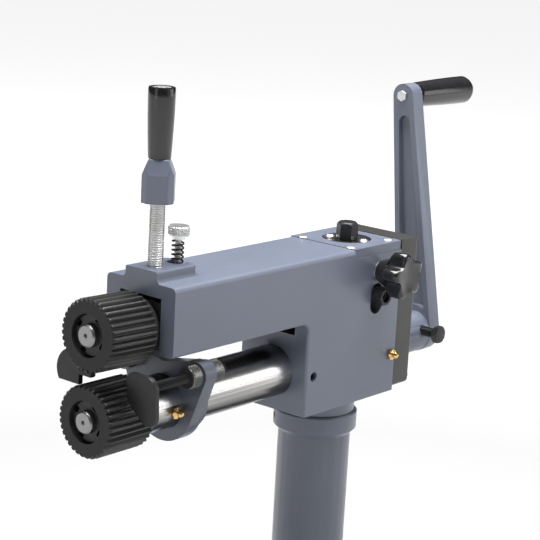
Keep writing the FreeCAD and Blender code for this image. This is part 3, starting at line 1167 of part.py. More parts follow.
def make_crank():
    """The crank arm with its hub, clamp bolt, the grip's axle and the grip."""
    lean = math.radians(value("arm_lean"))
    height = value("shaft_height")
    arm_length = value("arm_length")
    hub_place = (0, height)
    tip_place = (arm_length * math.sin(lean), height + arm_length * math.cos(lean))
    tip_y = "arm_length * sin(arm_lean)"
    tip_z = up("arm_length * cos(arm_lean)")
    hub_radius = value("arm_hub_diameter / 2")
    tip_radius = value("arm_tip_diameter / 2")
    plate = [
        rod("ArmHubDisc", "X", "arm_front", "0", AXIS, "arm_thickness", "arm_hub_diameter"),
        rod("ArmTipDisc", "X", "arm_front", tip_y, tip_z, "arm_thickness", "arm_tip_diameter"),
        hull_web("ArmWeb", "arm_front", "arm_thickness", hub_place, hub_radius, tip_place, tip_radius),
    ]
    hub = rod("ArmHub", "X", "hub_front", "0", AXIS, "arm_front - hub_front + 1", "hub_diameter")
    border = value("pocket_border")
    pocket_end = value("pocket_end")
    shrink = (hub_radius - tip_radius) / arm_length
    end_radius = hub_radius - shrink * pocket_end - border
    end_reach = pocket_end - end_radius
    pocket_tip = (end_reach * math.sin(lean), height + end_reach * math.cos(lean))
    pocket_tip_y = "(%.6f) * sin(arm_lean)" % end_reach
    pocket_tip_z = up("(%.6f) * cos(arm_lean)" % end_reach)
    pocket = fuse(
        "ArmPocketSolid",
        rod("PocketTip", "X", "arm_front - 1", pocket_tip_y, pocket_tip_z, "pocket_depth + 1",
            "%.6f" % (2 * end_radius)),
        hull_web("PocketWeb", "arm_front - 1", "pocket_depth + 1", hub_place, hub_radius - border,
                 pocket_tip,
                 end_radius))
    island = rod("PocketIsland", "X", "arm_front - 2", "0", AXIS, "pocket_depth + 3",
                 "2 * pocket_hub_radius")
    pocket = cut("ArmPocket", pocket, island)
    bore = rod("ArmBore", "X", "hub_front - 1", "0", AXIS, "arm_front - hub_front + arm_thickness + 2",
               "seat_diameter + 2 * running_clearance")
    axle_way = rod("ArmAxleWay", "X", "arm_front - 1", tip_y, tip_z, "arm_thickness + 2",
                   "axle_diameter + 2 * running_clearance")
    clamp_way = rod("ArmClampWay", "Y", "clamp_x", "-hub_diameter / 2 - 1", up("clamp_z"),
                    "hub_diameter / 2 + 1", "clamp_diameter + 2 * running_clearance")
    arm = cut("CrankArmSolid", fuse("ArmOuter", hub, *plate), pocket, bore, axle_way, clamp_way)
    keep("crank_arm", arm)

    head = prism("ClampHead", "Y", "clamp_x", "-clamp_reach - clamp_head_height", up("clamp_z"),
                 "clamp_head_height", "clamp_head")
    shank = rod("ClampShank", "Y", "clamp_x", "-clamp_reach - 1", up("clamp_z"),
                "clamp_reach + 1 - clamp_depth",
                "clamp_diameter")
    keep("crank_clamp_bolt", fuse("ClampBolt", head, shank))

    axle_head = prism("AxleHead", "X", "arm_front - axle_head_height", tip_y, tip_z, "axle_head_height",
                      "axle_head")
    axle = rod("Axle", "X", "arm_front - 1", tip_y, tip_z, "arm_thickness + grip_gap + axle_depth",
               "axle_diameter")
    spacer = rod("AxleSpacer", "X", "arm_front + arm_thickness", tip_y, tip_z, "grip_gap - 0.4",
                 "axle_diameter + 6")
    keep("grip_axle", fuse("GripAxle", axle_head, axle, spacer))

    start = "arm_front + arm_thickness + grip_gap"
    root = cone("GripRoot", "X", start, tip_y, tip_z, "grip_length * 0.3", "grip_root_diameter",
                "grip_diameter")
    middle = rod("GripMiddle", "X", start + " + grip_length * 0.3", tip_y, tip_z,
                 "grip_length * 0.7 - grip_round", "grip_diameter")
    doc.recompute()
    end = rod("GripEndBody", "X", start + " + grip_length - grip_round", tip_y, tip_z, "grip_round",
              "grip_diameter")
    far_x = value(start + " + grip_length")

    def end_edge(edge):
        return value("grip_round") - 0.5 if near(edge.BoundBox.XMin, far_x) else 0

    end = rounded("GripEnd", end, end_edge)
    hole = rod("GripHole", "X", start + " - 1", tip_y, tip_z, "axle_depth + 2",
               "axle_diameter + 2 * running_clearance")
    keep("crank_grip", cut("CrankGrip", fuse("GripSolid", root, middle, end), hole))


make_stand()
make_frame()
make_lower_tube()
make_lower_train()
make_upper_housing()
make_upper_train()
make_cover()
make_top()
make_pressure_screw()
make_lift_screw()
make_star_knob()
make_guides()
make_crank()
doc.recompute()

for thing in doc.Objects:
    if "Invalid" in thing.State or "Error" in thing.State:
        raise RuntimeError("%s did not build" % thing.Name)
for node, thing in parts.items():
    if thing.Shape.isNull() or not thing.Shape.isValid():
        raise RuntimeError("%s is not a valid shape" % node)

os.makedirs("parts", exist_ok=True)
for node, thing in parts.items():
    thing.Shape.exportStep("parts/%s.step" % node)
    print("%-24s %2d solid(s) %10.0f mm3" % (node, len(thing.Shape.Solids), thing.Shape.Volume))
print(len(parts), "nodes")
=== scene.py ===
"""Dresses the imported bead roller: painted castings, threads, knurls, rolls and handles."""

import json
import math

import bmesh
import bpy
from mathutils import Matrix, Vector


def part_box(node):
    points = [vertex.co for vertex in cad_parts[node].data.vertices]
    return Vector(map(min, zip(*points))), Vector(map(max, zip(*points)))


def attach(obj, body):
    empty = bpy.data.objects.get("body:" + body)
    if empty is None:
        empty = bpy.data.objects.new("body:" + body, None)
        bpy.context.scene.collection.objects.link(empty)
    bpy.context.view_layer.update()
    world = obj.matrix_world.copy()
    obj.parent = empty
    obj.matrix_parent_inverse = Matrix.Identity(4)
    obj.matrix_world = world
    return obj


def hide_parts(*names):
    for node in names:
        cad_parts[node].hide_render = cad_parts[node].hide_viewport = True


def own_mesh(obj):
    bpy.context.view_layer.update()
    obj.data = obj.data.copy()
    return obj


MM = 0.001
TURN = 2 * math.pi
MICRON = 0.000001
TINY = 1e-6  # mm
CAP_SHARE = 0.96  # flat middle of a bolt head's end, as a share of the width across flats

# Screw threads: depth, root width and flank as shares of the pitch, relief in mm, rows per pitch
THREAD_DEPTH = 0.61
THREAD_FLAT = 0.07
THREAD_FLANK = 0.36
THREAD_RELIEF = 0.3
THREAD_ROWS = 8

# Knurls: depth and chamfer in mm, gain of the crossed waves, plain middle as a share of the radius
KNURL_TEETH = 28
KNURL_DEPTH = 0.8
KNURL_CHAMFER = 0.9
KNURL_GAIN = 1.8
KNURL_FACE = 0.3

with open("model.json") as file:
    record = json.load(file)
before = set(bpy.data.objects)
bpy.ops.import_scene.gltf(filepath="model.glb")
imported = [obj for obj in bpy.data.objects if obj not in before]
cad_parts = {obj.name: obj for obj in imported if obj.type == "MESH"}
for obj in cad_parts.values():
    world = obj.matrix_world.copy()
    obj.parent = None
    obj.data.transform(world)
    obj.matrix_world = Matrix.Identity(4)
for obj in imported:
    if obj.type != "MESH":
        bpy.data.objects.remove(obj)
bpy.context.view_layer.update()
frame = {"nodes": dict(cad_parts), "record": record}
record = frame["record"]
NODES = frame["nodes"]
BODY = {node: body for body, members in record["behaviour"]["bodies"].items() for node in members}
SLOT = {part["node"]: part["material_slot"] for part in record["subparts"]}

# Places shared with the part, in mm
SHAFT_HEIGHT = 300
AXIS_SPACING = 64
PIVOT_X = 32.5
LIFT_X = -205
HOUSING_TOP = 24  # above the upper shaft's axis
NIPPLE_SEATS = ((-223, -23.6, 297), (61, -40, 300.5))  # on the tube and on the block
PLATE_TOP = 412.2
FLANGE_TOP = 410.2

# The upper shaft's pieces are tipped about the pivot at rest
REST_TILT = math.radians(1.66)
PIVOT = Vector((PIVOT_X * MM, 0, SHAFT_HEIGHT * MM + AXIS_SPACING * MM))
TIPPED = Matrix.Translation(PIVOT) @ Matrix.Rotation(REST_TILT, 4, "Y") @ Matrix.Translation(-PIVOT)
AIM = {
    "X": Matrix.Rotation(math.pi / 2, 4, "Y"),
    "Y": Matrix.Rotation(-math.pi / 2, 4, "X"),
    "Z": Matrix.Identity(4),
}


# Materials

def new_material(name):
    material = bpy.data.materials.new(name)
    material.use_nodes = True
    nodes = material.node_tree.nodes
    return material, nodes, material.node_tree.links, nodes["Principled BSDF"]


def noise(nodes, links, scale, detail=2.0, stretch=(1, 1, 1)):
    """A noise in the object's own metres, stretched along an axis where a tool ran."""
    place = nodes.new("ShaderNodeTexCoord")
    mapping = nodes.new("ShaderNodeMapping")
    mapping.inputs["Scale"].default_value = stretch
    texture = nodes.new("ShaderNodeTexNoise")
    texture.inputs["Scale"].default_value = scale
    texture.inputs["Detail"].default_value = detail
    links.new(place.outputs["Object"], mapping.inputs["Vector"])
    links.new(mapping.outputs["Vector"], texture.inputs["Vector"])
    return texture.outputs["Fac"]


def ramp(nodes, links, source, low, high):
    """A smooth step of the source into the range low to high."""
    span = nodes.new("ShaderNodeMapRange")
    span.inputs["From Min"].default_value = 0.3
    span.inputs["From Max"].default_value = 0.7
    span.inputs["To Min"].default_value = low
    span.inputs["To Max"].default_value = high
    links.new(source, span.inputs["Value"])
    return span.outputs["Result"]


def blend_colours(nodes, links, factor, first, second):
    mix = nodes.new("ShaderNodeMix")
    mix.data_type = "RGBA"
    mix.inputs["A"].default_value = (*first, 1)
    mix.inputs["B"].default_value = (*second, 1)
    links.new(factor, mix.inputs["Factor"])
    return mix.outputs["Result"]


def add_bump(nodes, links, shader, layers):
    """Bump from layers of (height source, depth in microns), one feeding the next."""
    previous = None
    for source, depth in layers:
        bump = nodes.new("ShaderNodeBump")
        bump.inputs["Strength"].default_value = 1.0
        bump.inputs["Distance"].default_value = depth * MICRON
        links.new(source, bump.inputs["Height"])
        if previous:
            links.new(previous, bump.inputs["Normal"])
        previous = bump.outputs["Normal"]
    links.new(previous, shader.inputs["Normal"])


def shade(colour, factor):
    return tuple(channel * factor for channel in colour)


def mottled(nodes, links, source, colour, darkest, lightest):
    """The colour, varied by a noise between two shares of itself."""
    spread = ramp(nodes, links, source, 0, 1)
    return blend_colours(nodes, links, spread, shade(colour, darkest), shade(colour, lightest))


def paint(name, colour, roughness=0.34, cast=50, peel=8):
    """Sprayed enamel on a casting: soft unevenness, orange peel and faint cloudiness."""
    material, nodes, links, shader = new_material(name)
    cloud = noise(nodes, links, 9, 2)
    links.new(mottled(nodes, links, cloud, colour, 0.97, 1.03), shader.inputs["Base Color"])
    dulling = ramp(nodes, links, noise(nodes, links, 45, 2), roughness - 0.02, roughness + 0.03)
    links.new(dulling, shader.inputs["Roughness"])
    shader.inputs["Coat Weight"].default_value = 0.22
    shader.inputs["Coat Roughness"].default_value = 0.2
    add_bump(nodes, links, shader, [(noise(nodes, links, 60, 2), cast), (noise(nodes, links, 900, 1), peel)])
    return material


def metal(name, colour, roughness, spread, grain, depth, stretch=(1, 1, 1), metallic=1.0):
    """Machined or plated metal with tool marks along the stretched axis, depth in microns."""
    material, nodes, links, shader = new_material(name)
    shader.inputs["Metallic"].default_value = metallic
    marks = noise(nodes, links, grain, 3, stretch)
    links.new(mottled(nodes, links, marks, colour, 0.97, 1.02), shader.inputs["Base Color"])
    wear = ramp(nodes, links, marks, roughness - spread / 2, roughness + spread)
    links.new(wear, shader.inputs["Roughness"])
    add_bump(nodes, links, shader, [(marks, depth)])
    return material


def direction(nodes, links, kind, axis):
    """One part of the surface's direction (kind Normal) or of the view's (kind Generated)."""
    place = nodes.new("ShaderNodeTexCoord")
    split = nodes.new("ShaderNodeSeparateXYZ")
    links.new(place.outputs[kind], split.inputs["Vector"])
    return split.outputs[axis]


def bands(nodes, links, source, stops):
    """Grey levels from stops of (position, level), for a source that runs from -1 to 1."""
    span = nodes.new("ShaderNodeMapRange")
    span.inputs["From Min"].default_value = -1
    links.new(source, span.inputs["Value"])
    band = nodes.new("ShaderNodeValToRGB")
    while len(band.color_ramp.elements) < len(stops):
        band.color_ramp.elements.new(0.5)
    for element, (position, level) in zip(band.color_ramp.elements, stops):
        element.position = position
        element.color = (level, level, level, 1)
    links.new(span.outputs["Result"], band.inputs["Fac"])
    return band.outputs["Color"]


def painted_reflection_steel(name, colour, roughness, stops):
    """Polished round steel with a painted reflection: tone set by the height of the surface's direction."""
    material = metal(name, colour, roughness, 0.02, 120, 1, stretch=(0.2, 3, 3))
    nodes, links = material.node_tree.nodes, material.node_tree.links
    shader = nodes["Principled BSDF"]
    tone = shader.inputs["Base Color"].links[0].from_socket
    # Painted reflection: the steel's tone is multiplied by grey bands of the surface's height
    mix = nodes.new("ShaderNodeMix")
    mix.data_type = "RGBA"
    mix.blend_type = "MULTIPLY"
    mix.inputs["Factor"].default_value = 1
    links.new(tone, mix.inputs["A"])
    links.new(bands(nodes, links, direction(nodes, links, "Normal", "Z"), stops), mix.inputs["B"])
    links.new(mix.outputs["Result"], shader.inputs["Base Color"])
    return material


def roll_metal_painted_sheen(name, face, land):
    """A blackened roll: dark turned ends, and lands and grooves a little brighter, a painted sheen."""
    material = metal(name, land, 0.36, 0.1, 500, 10, metallic=0.6)
    nodes, links = material.node_tree.nodes, material.node_tree.links
    shader = nodes["Principled BSDF"]
    tone = shader.inputs["Base Color"].links[0].from_socket
    # Painted sheen: faces along the axis take the dark end colour, lands and grooves the brighter one
    size = nodes.new("ShaderNodeMath")
    size.operation = "ABSOLUTE"
    links.new(direction(nodes, links, "Normal", "X"), size.inputs[0])
    mix = nodes.new("ShaderNodeMix")
    mix.data_type = "RGBA"
    links.new(size.outputs["Value"], mix.inputs["Factor"])
    links.new(tone, mix.inputs["A"])
    mix.inputs["B"].default_value = (*face, 1)
    links.new(mix.outputs["Result"], shader.inputs["Base Color"])
    return material


def plastic(name, colour, roughness=0.18):
    """Moulded thermoset plastic with a polished skin."""
    material, nodes, links, shader = new_material(name)
    cloud = noise(nodes, links, 120, 3)
    links.new(mottled(nodes, links, cloud, colour, 0.85, 1.2), shader.inputs["Base Color"])
    dulling = ramp(nodes, links, noise(nodes, links, 300, 2), roughness - 0.04, roughness + 0.08)
    links.new(dulling, shader.inputs["Roughness"])
    shader.inputs["Coat Weight"].default_value = 0.4
    shader.inputs["Coat Roughness"].default_value = 0.08
    add_bump(nodes, links, shader, [(noise(nodes, links, 220, 2), 30)])
    return material


BLUE = (0.152, 0.171, 0.226)
# A darker copy of the frame's blue on the column and foot: painted shade
COLUMN_BLUE_PAINTED_SHADE = shade(BLUE, 0.80)
# A darker copy of the frame's blue on the guide bracket: painted shade
BRACKET_BLUE_PAINTED_SHADE = shade(BLUE, 0.62)
# Painted reflection on the polished steel: dark below and on top, bright just above the middle
PAINTED_REFLECTION_BANDS = [(0.0, 0.10), (0.25, 0.14), (0.36, 0.30), (0.46, 0.50), (0.56, 1.0), (0.72, 1.0),
                  (0.82, 0.55), (0.93, 0.20)]
LOOKS = {
    "frame_enamel": paint("frame_enamel", BLUE),
    "column_enamel_painted_shade": paint("column_enamel_painted_shade", COLUMN_BLUE_PAINTED_SHADE),
    "bracket_enamel_painted_shade": paint("bracket_enamel_painted_shade", BRACKET_BLUE_PAINTED_SHADE),
    "knurled_steel": metal("knurled_steel", (0.17, 0.17, 0.165), 0.34, 0.04, 600, 2, metallic=0.9),
    "housing_black": paint("housing_black", (0.010, 0.010, 0.011), 0.40),
    "cover_enamel": paint("cover_enamel", (0.033, 0.032, 0.030), 0.45, cast=150, peel=20),
    "polished_steel": painted_reflection_steel("polished_steel", (0.92, 0.91, 0.89), 0.24, PAINTED_REFLECTION_BANDS),
    "ground_steel": metal("ground_steel", (0.30, 0.30, 0.30), 0.32, 0.04, 500, 2),
    "dark_steel": metal("dark_steel", (0.030, 0.030, 0.032), 0.36, 0.1, 600, 10, metallic=0.45),
    "zinc_steel": metal("zinc_steel", (0.80, 0.80, 0.79), 0.34, 0.03, 500, 1),
    # Rolls: black ends, with a painted sheen that makes lands and grooves brighter
    "roll_steel": roll_metal_painted_sheen("roll_steel", (0.022, 0.022, 0.022), (0.070, 0.069, 0.068)),
    "gear_steel": metal("gear_steel", (0.40, 0.40, 0.40), 0.30, 0.1, 400, 20),
    "bronze": metal("bronze", (0.42, 0.27, 0.12), 0.30, 0.1, 300, 10),
    "nipple_brass": metal("nipple_brass", (0.80, 0.55, 0.24), 0.18, 0.06, 300, 4),
    "black_plastic": plastic("black_plastic", (0.012, 0.012, 0.013)),
}


# Mesh tools

def piece(name, mesh, body, slot_name, *nodes, look=None, smooth=32):
    """A finished mesh as a piece that rides on a body and stands for CAD nodes."""
    thing = bpy.data.objects.new(name, mesh)
    bpy.context.scene.collection.objects.link(thing)
    mesh.materials.clear()
    mesh.materials.append(LOOKS[look or slot_name])
    for face in mesh.polygons:
        face.use_smooth = True
    mesh.set_sharp_from_angle(angle=math.radians(smooth))
    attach(thing, body)
    if nodes:
        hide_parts(*nodes)
    return thing


def mesh_from(bm, name):
    mesh = bpy.data.meshes.new(name)
    bmesh.ops.recalc_face_normals(bm, faces=bm.faces)
    bm.to_mesh(mesh)
    bm.free()
    return mesh


def seat(axis, origin, extra=None):
    """The matrix that lays a shape drawn along Z onto an axis through origin, in mm."""
    matrix = Matrix.Translation(Vector(origin) * MM) @ AIM[axis]
    return matrix if extra is None else extra @ matrix


def ring_of(bm, matrix, segments, spot):
    """A ring of vertices; spot gives (radius, place along the axis) in mm for each step."""
    ring = []
    for step in range(segments):
        angle = TURN * step / segments
        radius, along = spot(step, angle)
        point = Vector((radius * MM * math.cos(angle), radius * MM * math.sin(angle), along * MM))
        ring.append(bm.verts.new(matrix @ point))
    return ring


def pole(bm, matrix, along):
    """The single vertex that closes a shape on its axis."""
    return [bm.verts.new(matrix @ Vector((0, 0, along * MM)))]


def lathe(bm, profile, axis, origin, segments=64, extra=None):
    """Turn a closed profile of (radius, place along the axis), in mm, about an axis through origin.

    Points with no radius are the poles. extra is a further matrix for the finished shape.
    """
    matrix = seat(axis, origin, extra)
    rings = []
    for radius, along in profile:
        if radius < TINY:
            rings.append(pole(bm, matrix, along))
        else:
            rings.append(ring_of(bm, matrix, segments, lambda step, angle: (radius, along)))
    bridge_rings(bm, rings, segments)


def bridge_rings(bm, rings, segments):
    """Faces between each ring and the next; a ring of one vertex is a pole."""
    for first, second in zip(rings, rings[1:]):
        for step in range(segments):
            after = (step + 1) % segments
            if len(first) == 1 and len(second) == 1:
                continue
            if len(first) == 1:
                bm.faces.new((first[0], second[after], second[step]))
            elif len(second) == 1:
                bm.faces.new((first[step], first[after], second[0]))
            else:
                bm.faces.new((first[step], first[after], second[after], second[step]))


def regular_prism(bm, sides, across, low, high, axis, origin, chamfer):
    """A bolt head: a prism whose two ends are trimmed by a cone, with widths in mm."""
    matrix = seat(axis, origin)
    flat = across / 2
    corner = flat / math.cos(math.pi / sides)
    count = sides * 8

    def reach(angle):
        return flat / math.cos(angle % (TURN / sides) - math.pi / sides)

    def drop(radius):
        return chamfer * max(0.0, (radius - flat) / (corner - flat))

    def cap(end):
        return ring_of(bm, matrix, count, lambda step, angle: (flat * CAP_SHARE, end))

    def rim(end, inward):
        return ring_of(bm, matrix, count,
                       lambda step, angle: (reach(angle), end + inward * drop(reach(angle))))

    rings = [pole(bm, matrix, low), cap(low), rim(low, 1), rim(high, -1), cap(high)]
    bridge_rings(bm, rings + [pole(bm, matrix, high)], count)


def thread(bm, major, pitch, low, high, axis, origin, segments=40, extra=None, chamfer=0.8):
    """A screw thread as a fine grid whose radius follows the helix, with plain chamfered ends."""
    matrix = seat(axis, origin, extra)
    minor = major - THREAD_DEPTH * pitch
    core = minor - THREAD_RELIEF
    rows = max(2, int((high - low) / pitch * THREAD_ROWS))
    rings = [pole(bm, matrix, low)]
    for row in range(rows + 1):
        along = low + (high - low) * row / rows
        end = min(along - low, high - along)
        limit = core + (major - minor + THREAD_RELIEF) * min(1.0, end / chamfer)

        def spot(step, angle):
            phase = ((along / pitch) - step / segments) % 1.0
            crest = min(1.0, max(0.0, (abs(phase - 0.5) - THREAD_FLAT) / THREAD_FLANK))
            return min(minor + (major - minor) * crest, limit), along

        rings.append(ring_of(bm, matrix, segments, spot))
    bridge_rings(bm, rings + [pole(bm, matrix, high)], segments)


def knurled(bm, radius, low, high, axis, origin, extra=None, hole=0.0):
    """A diamond-knurled drum with chamfered ends and an optional hole."""
    matrix = seat(axis, origin, extra)
    segments = KNURL_TEETH * 4
    pitch = TURN * radius / KNURL_TEETH
    rows = max(6, int((high - low) / pitch * 4))
    valley = radius - KNURL_DEPTH

    def wave(value):
        return 1 - abs((value % 1.0) * 2 - 1)

    def plain(out, along):
        return ring_of(bm, matrix, segments, lambda step, angle: (out, along))

    inner = hole if hole else radius * KNURL_FACE
    rings = [plain(inner, low), plain(radius - KNURL_CHAMFER, low)]
    for row in range(rows + 1):
        along = low + KNURL_CHAMFER + (high - low - 2 * KNURL_CHAMFER) * row / rows
        lift = (along - low) / pitch
        at_end = row in (0, rows)

        def spot(step, angle):
            turn = step / segments * KNURL_TEETH
            crossed = valley + KNURL_DEPTH * min(wave(turn + lift), wave(turn - lift)) * KNURL_GAIN
            return (valley if at_end else min(radius, crossed)), along

        rings.append(ring_of(bm, matrix, segments, spot))
    rings += [plain(radius - KNURL_CHAMFER, high), plain(inner, high)]
    if hole:
        rings.append(rings[0])
    else:
        rings = [pole(bm, matrix, low)] + rings + [pole(bm, matrix, high)]
    bridge_rings(bm, rings, segments)


def dressed(node, edge, look=None, merge=True):
    """The CAD node's own shape with welded facets and softly broken edges, edge in mm."""
    bm = bmesh.new()
    bm.from_mesh(NODES[node].data)
    bmesh.ops.remove_doubles(bm, verts=bm.verts, dist=1e-6)
    if merge:
        bmesh.ops.dissolve_limit(bm, angle_limit=math.radians(0.4), verts=bm.verts, edges=bm.edges)
    mesh = bpy.data.meshes.new(node + "_finish")
    bm.to_mesh(mesh)
    bm.free()
    thing = piece(node + "_finish", mesh, BODY[node], SLOT[node], node, look=look)
    if edge:
        bevel = thing.modifiers.new("Broken edges", "BEVEL")
        bevel.width = edge * MM
        bevel.segments = 2
        bevel.limit_method = "ANGLE"
        bevel.angle_limit = math.radians(34)
        bevel.harden_normals = True
        bevel.use_clamp_overlap = True


def room_of(node):
    """The low corner, the high corner and the middle of a node's box, in mm."""
    low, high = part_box(node)
    return low / MM, high / MM, (low + high) / 2 / MM


# Plain castings, shafts and fasteners keep their CAD shapes

for node, edge in {
    "stand_foot": 1.5, "stand_column": 0.6, "column_lock_screws": 0.2, "frame_casting": 0.35,
    "lower_tube": 0.5, "lower_bushes": 0.4, "tube_set_screw": 0.2, "pivot_block": 0.4, "gear_cover": 0.8,
    "gear_cover_screws": 0.3, "cover_bush": 0.3, "top_plate": 0.35, "spindle_flange": 0.5,
    "star_knob_washer": 0.3, "star_knob_stud": 0.3, "adjusting_spindle": 0.4,
    "lower_shaft": 0.4, "lower_roll": 0.25, "lower_locknut": 0.3, "lower_roll_key": 0, "lower_gear": 0.3,
    "upper_shaft": 0.4, "upper_roll": 0.25, "upper_locknut": 0.3, "upper_roll_key": 0, "upper_gear": 0.3,
    "upper_housing": 0.7, "upper_bushes": 0.4, "pressure_foot": 0.4, "pressure_hub": 1.2,
    "lift_collar": 0.3, "bracket_lock_screw": 0.3, "near_guide_disc": 0.8,
    "far_guide_disc": 0.8, "grip_axle": 0.3, "pivot_screws": 0.6,
}.items():
    # The column and foot take the frame's blue darkened, a painted shade
    dressed(node, edge, look="column_enamel_painted_shade" if node in ("stand_column", "stand_foot") else None)
dressed("crank_arm", 1.0, merge=False)
# The guide bracket in a darker copy of the frame's blue, a painted shade
dressed("guide_bracket", 1.0, look="bracket_enamel_painted_shade", merge=False)


# Pressure screw, its handle and the lift screw

def make_pressure_screw():
    low, high, centre = room_of("pressure_screw")
    bm = bmesh.new()
    thread(bm, 6.8, 2.0, low.z, high.z, "Z", (centre.x, 0, 0))
    piece("pressure_thread", mesh_from(bm, "pressure_thread"), "pressure_screw", "zinc_steel",
          "pressure_screw", smooth=30)


def make_pressure_handle():
    low, high, centre = room_of("pressure_handle")
    length = high.z - low.z
    outline = [(0, 0), (9.6, 0), (9.9, 1.0), (10.2, 8), (10.8, 22), (11.3, 36), (11.5, 50),
               (11.5, length - 1.6), (10.9, length - 0.3), (9.6, length), (8.6, length - 0.4),
               (8.4, length - 1.0), (0, length - 1.0)]
    bm = bmesh.new()
    lathe(bm, outline, "Z", (centre.x, 0, low.z))
    piece("pressure_handle_grip", mesh_from(bm, "pressure_handle_grip"), "pressure_screw",
          "black_plastic", "pressure_handle")
    disc = [(0, length - 1.2), (8.1, length - 1.2), (8.1, length - 0.75), (7.6, length - 0.5),
            (0, length - 0.3)]
    bm = bmesh.new()
    lathe(bm, disc, "Z", (centre.x, 0, low.z))
    piece("pressure_handle_insert", mesh_from(bm, "pressure_handle_insert"), "pressure_screw",
          "zinc_steel")


def make_lift_screw():
    stem_depth = 7
    stem_low = SHAFT_HEIGHT + AXIS_SPACING + HOUSING_TOP - stem_depth
    head_low, head_high = 437.2, 446.2
    bm = bmesh.new()
    thread(bm, 3.0, 1.0, stem_low, head_low + 1, "Z", (LIFT_X, 0, 0), segments=24, extra=TIPPED,
           chamfer=0.5)
    piece("lift_screw_stem", mesh_from(bm, "lift_screw_stem"), "lift_screw", "zinc_steel", smooth=60)
    bm = bmesh.new()
    knurled(bm, 9.4, head_low, head_high, "Z", (LIFT_X, 0, 0), extra=TIPPED)
    piece("lift_screw_head", mesh_from(bm, "lift_screw_head"), "lift_screw", "zinc_steel",
          "lift_screw", smooth=24)


def make_lift_spring():
    """An evenly wound wire between the seat in the casting and the collar under the head."""
    low, high, centre = room_of("lift_spring")
    wire, coil, turns = 0.8, 4.8, 6.5
    end_gap = 0.1
    bottom, top = low.z + wire + end_gap, high.z - wire - end_gap
    steps, around = int(turns * 36), 12
    bm = bmesh.new()
    rings = []
    for step in range(steps + 1):
        turn = turns * step / steps
        angle = TURN * turn
        height = bottom + (top - bottom) * turn / turns
        middle = Vector((centre.x + coil * math.cos(angle), coil * math.sin(angle), height))
        outward = Vector((math.cos(angle), math.sin(angle), 0))
        ring = []
        for point in range(around):
            swing = TURN * point / around
            spot = middle + outward * wire * math.cos(swing) + Vector((0, 0, wire * math.sin(swing)))
            ring.append(bm.verts.new(spot * MM))
        rings.append(ring)
    for first, second in zip(rings, rings[1:]):
        for point in range(around):
            after = (point + 1) % around
            bm.faces.new((first[point], first[after], second[after], second[point]))
    bm.faces.new(rings[0][::-1])
    bm.faces.new(rings[-1])
    spring = piece("lift_spring_coil", mesh_from(bm, "lift_spring_coil"), "frame", "dark_steel",
                   "lift_spring", smooth=60)
    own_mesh(spring)


# Guides: threaded rods and knurled nuts

def make_guide_rods():
    for side in ("near", "far"):
        node = side + "_guide_rod"
        low, high, centre = room_of(node)
        bm = bmesh.new()
        on_axis = (0, centre.y, centre.z)
        thread(bm, 4.3, 1.25, low.x, high.x, "X", on_axis, segments=28, chamfer=0.6)
        piece(node + "_thread", mesh_from(bm, node), side + "_guide", SLOT[node], node, smooth=60)
        for end in ("front", "rear"):
            nut = "%s_%s_nut" % (side, end)
            low, high, _ = room_of(nut)
            bm = bmesh.new()
            knurled(bm, 10.0, low.x, high.x, "X", on_axis, hole=4.4)
            piece(nut + "_knurled", mesh_from(bm, nut), BODY[nut], SLOT[nut], nut, look="knurled_steel",
                  smooth=12)


# Crank grip, star knob and grease nipples

def make_crank_grip():
    low, high, centre = room_of("crank_grip")
    length = high.x - low.x
    outline = [(4.3, 0), (11.0, 0), (12.1, 0.8), (12.3, 3), (12.9, 18), (13.6, 40), (14.05, 66), (14.1, 84),
               (13.9, length - 10), (13.1, length - 5.5), (11.4, length - 2.3), (8.6, length - 0.5),
               (5.0, length), (0, length)]
    bm = bmesh.new()
    lathe(bm, [(0, 2.0), (4.3, 2.0)] + outline, "X", (low.x, centre.y, centre.z))
    piece("crank_grip_handle", mesh_from(bm, "crank_grip_handle"), "grip", "black_plastic", "crank_grip")


def make_star_knob():
    """Five lobes with hollow flanks, a crowned face and a hub towards the machine."""
    low, high, _ = room_of("star_knob")
    _, _, centre = room_of("star_knob_stud")
    reach, lobe, lobes, thickness = 22.5, 3.9, 5, 19.0
    crown, hub = 16.0, 10.5
    first_lobe = math.radians(100)
    waist = reach - lobe
    segments = 160

    def outline(angle):
        wave = math.cos(lobes * (angle - first_lobe))
        return waist + lobe * math.copysign(abs(wave) ** 0.8, wave)

    sections = [(0.30, 1.5), (0.55, 0.9), (0.78, 0.25), (0.90, 0.0), (0.97, 1.2), (1.0, 3.4), (1.0, 11.5),
                (0.97, 16.4), (0.88, thickness)]
    bm = bmesh.new()
    matrix = Matrix.Translation(Vector((centre.x, low.y, centre.z)) * MM)

    def ring(shape, along):
        made = []
        for step in range(segments):
            angle = TURN * step / segments
            out = shape(angle)
            point = Vector((out * math.cos(angle), along, out * math.sin(angle)))
            made.append(bm.verts.new(matrix @ (point * MM)))
        return made

    def centre_point(along):
        return [bm.verts.new(matrix @ (Vector((0, along, 0)) * MM))]

    rings = [centre_point(1.8)]
    for share, along in sections:
        soften = 1 - min(1.0, share) ** 3
        rings.append(ring(lambda angle: share * (outline(angle) * (1 - soften) + waist * soften), along))
    face = high.y - low.y
    rings += [ring(lambda angle: crown, thickness), ring(lambda angle: hub, face), centre_point(face)]
    bridge_rings(bm, rings, segments)
    piece("star_knob_grip", mesh_from(bm, "star_knob_grip"), "star_knob", "black_plastic", "star_knob",
          smooth=50)


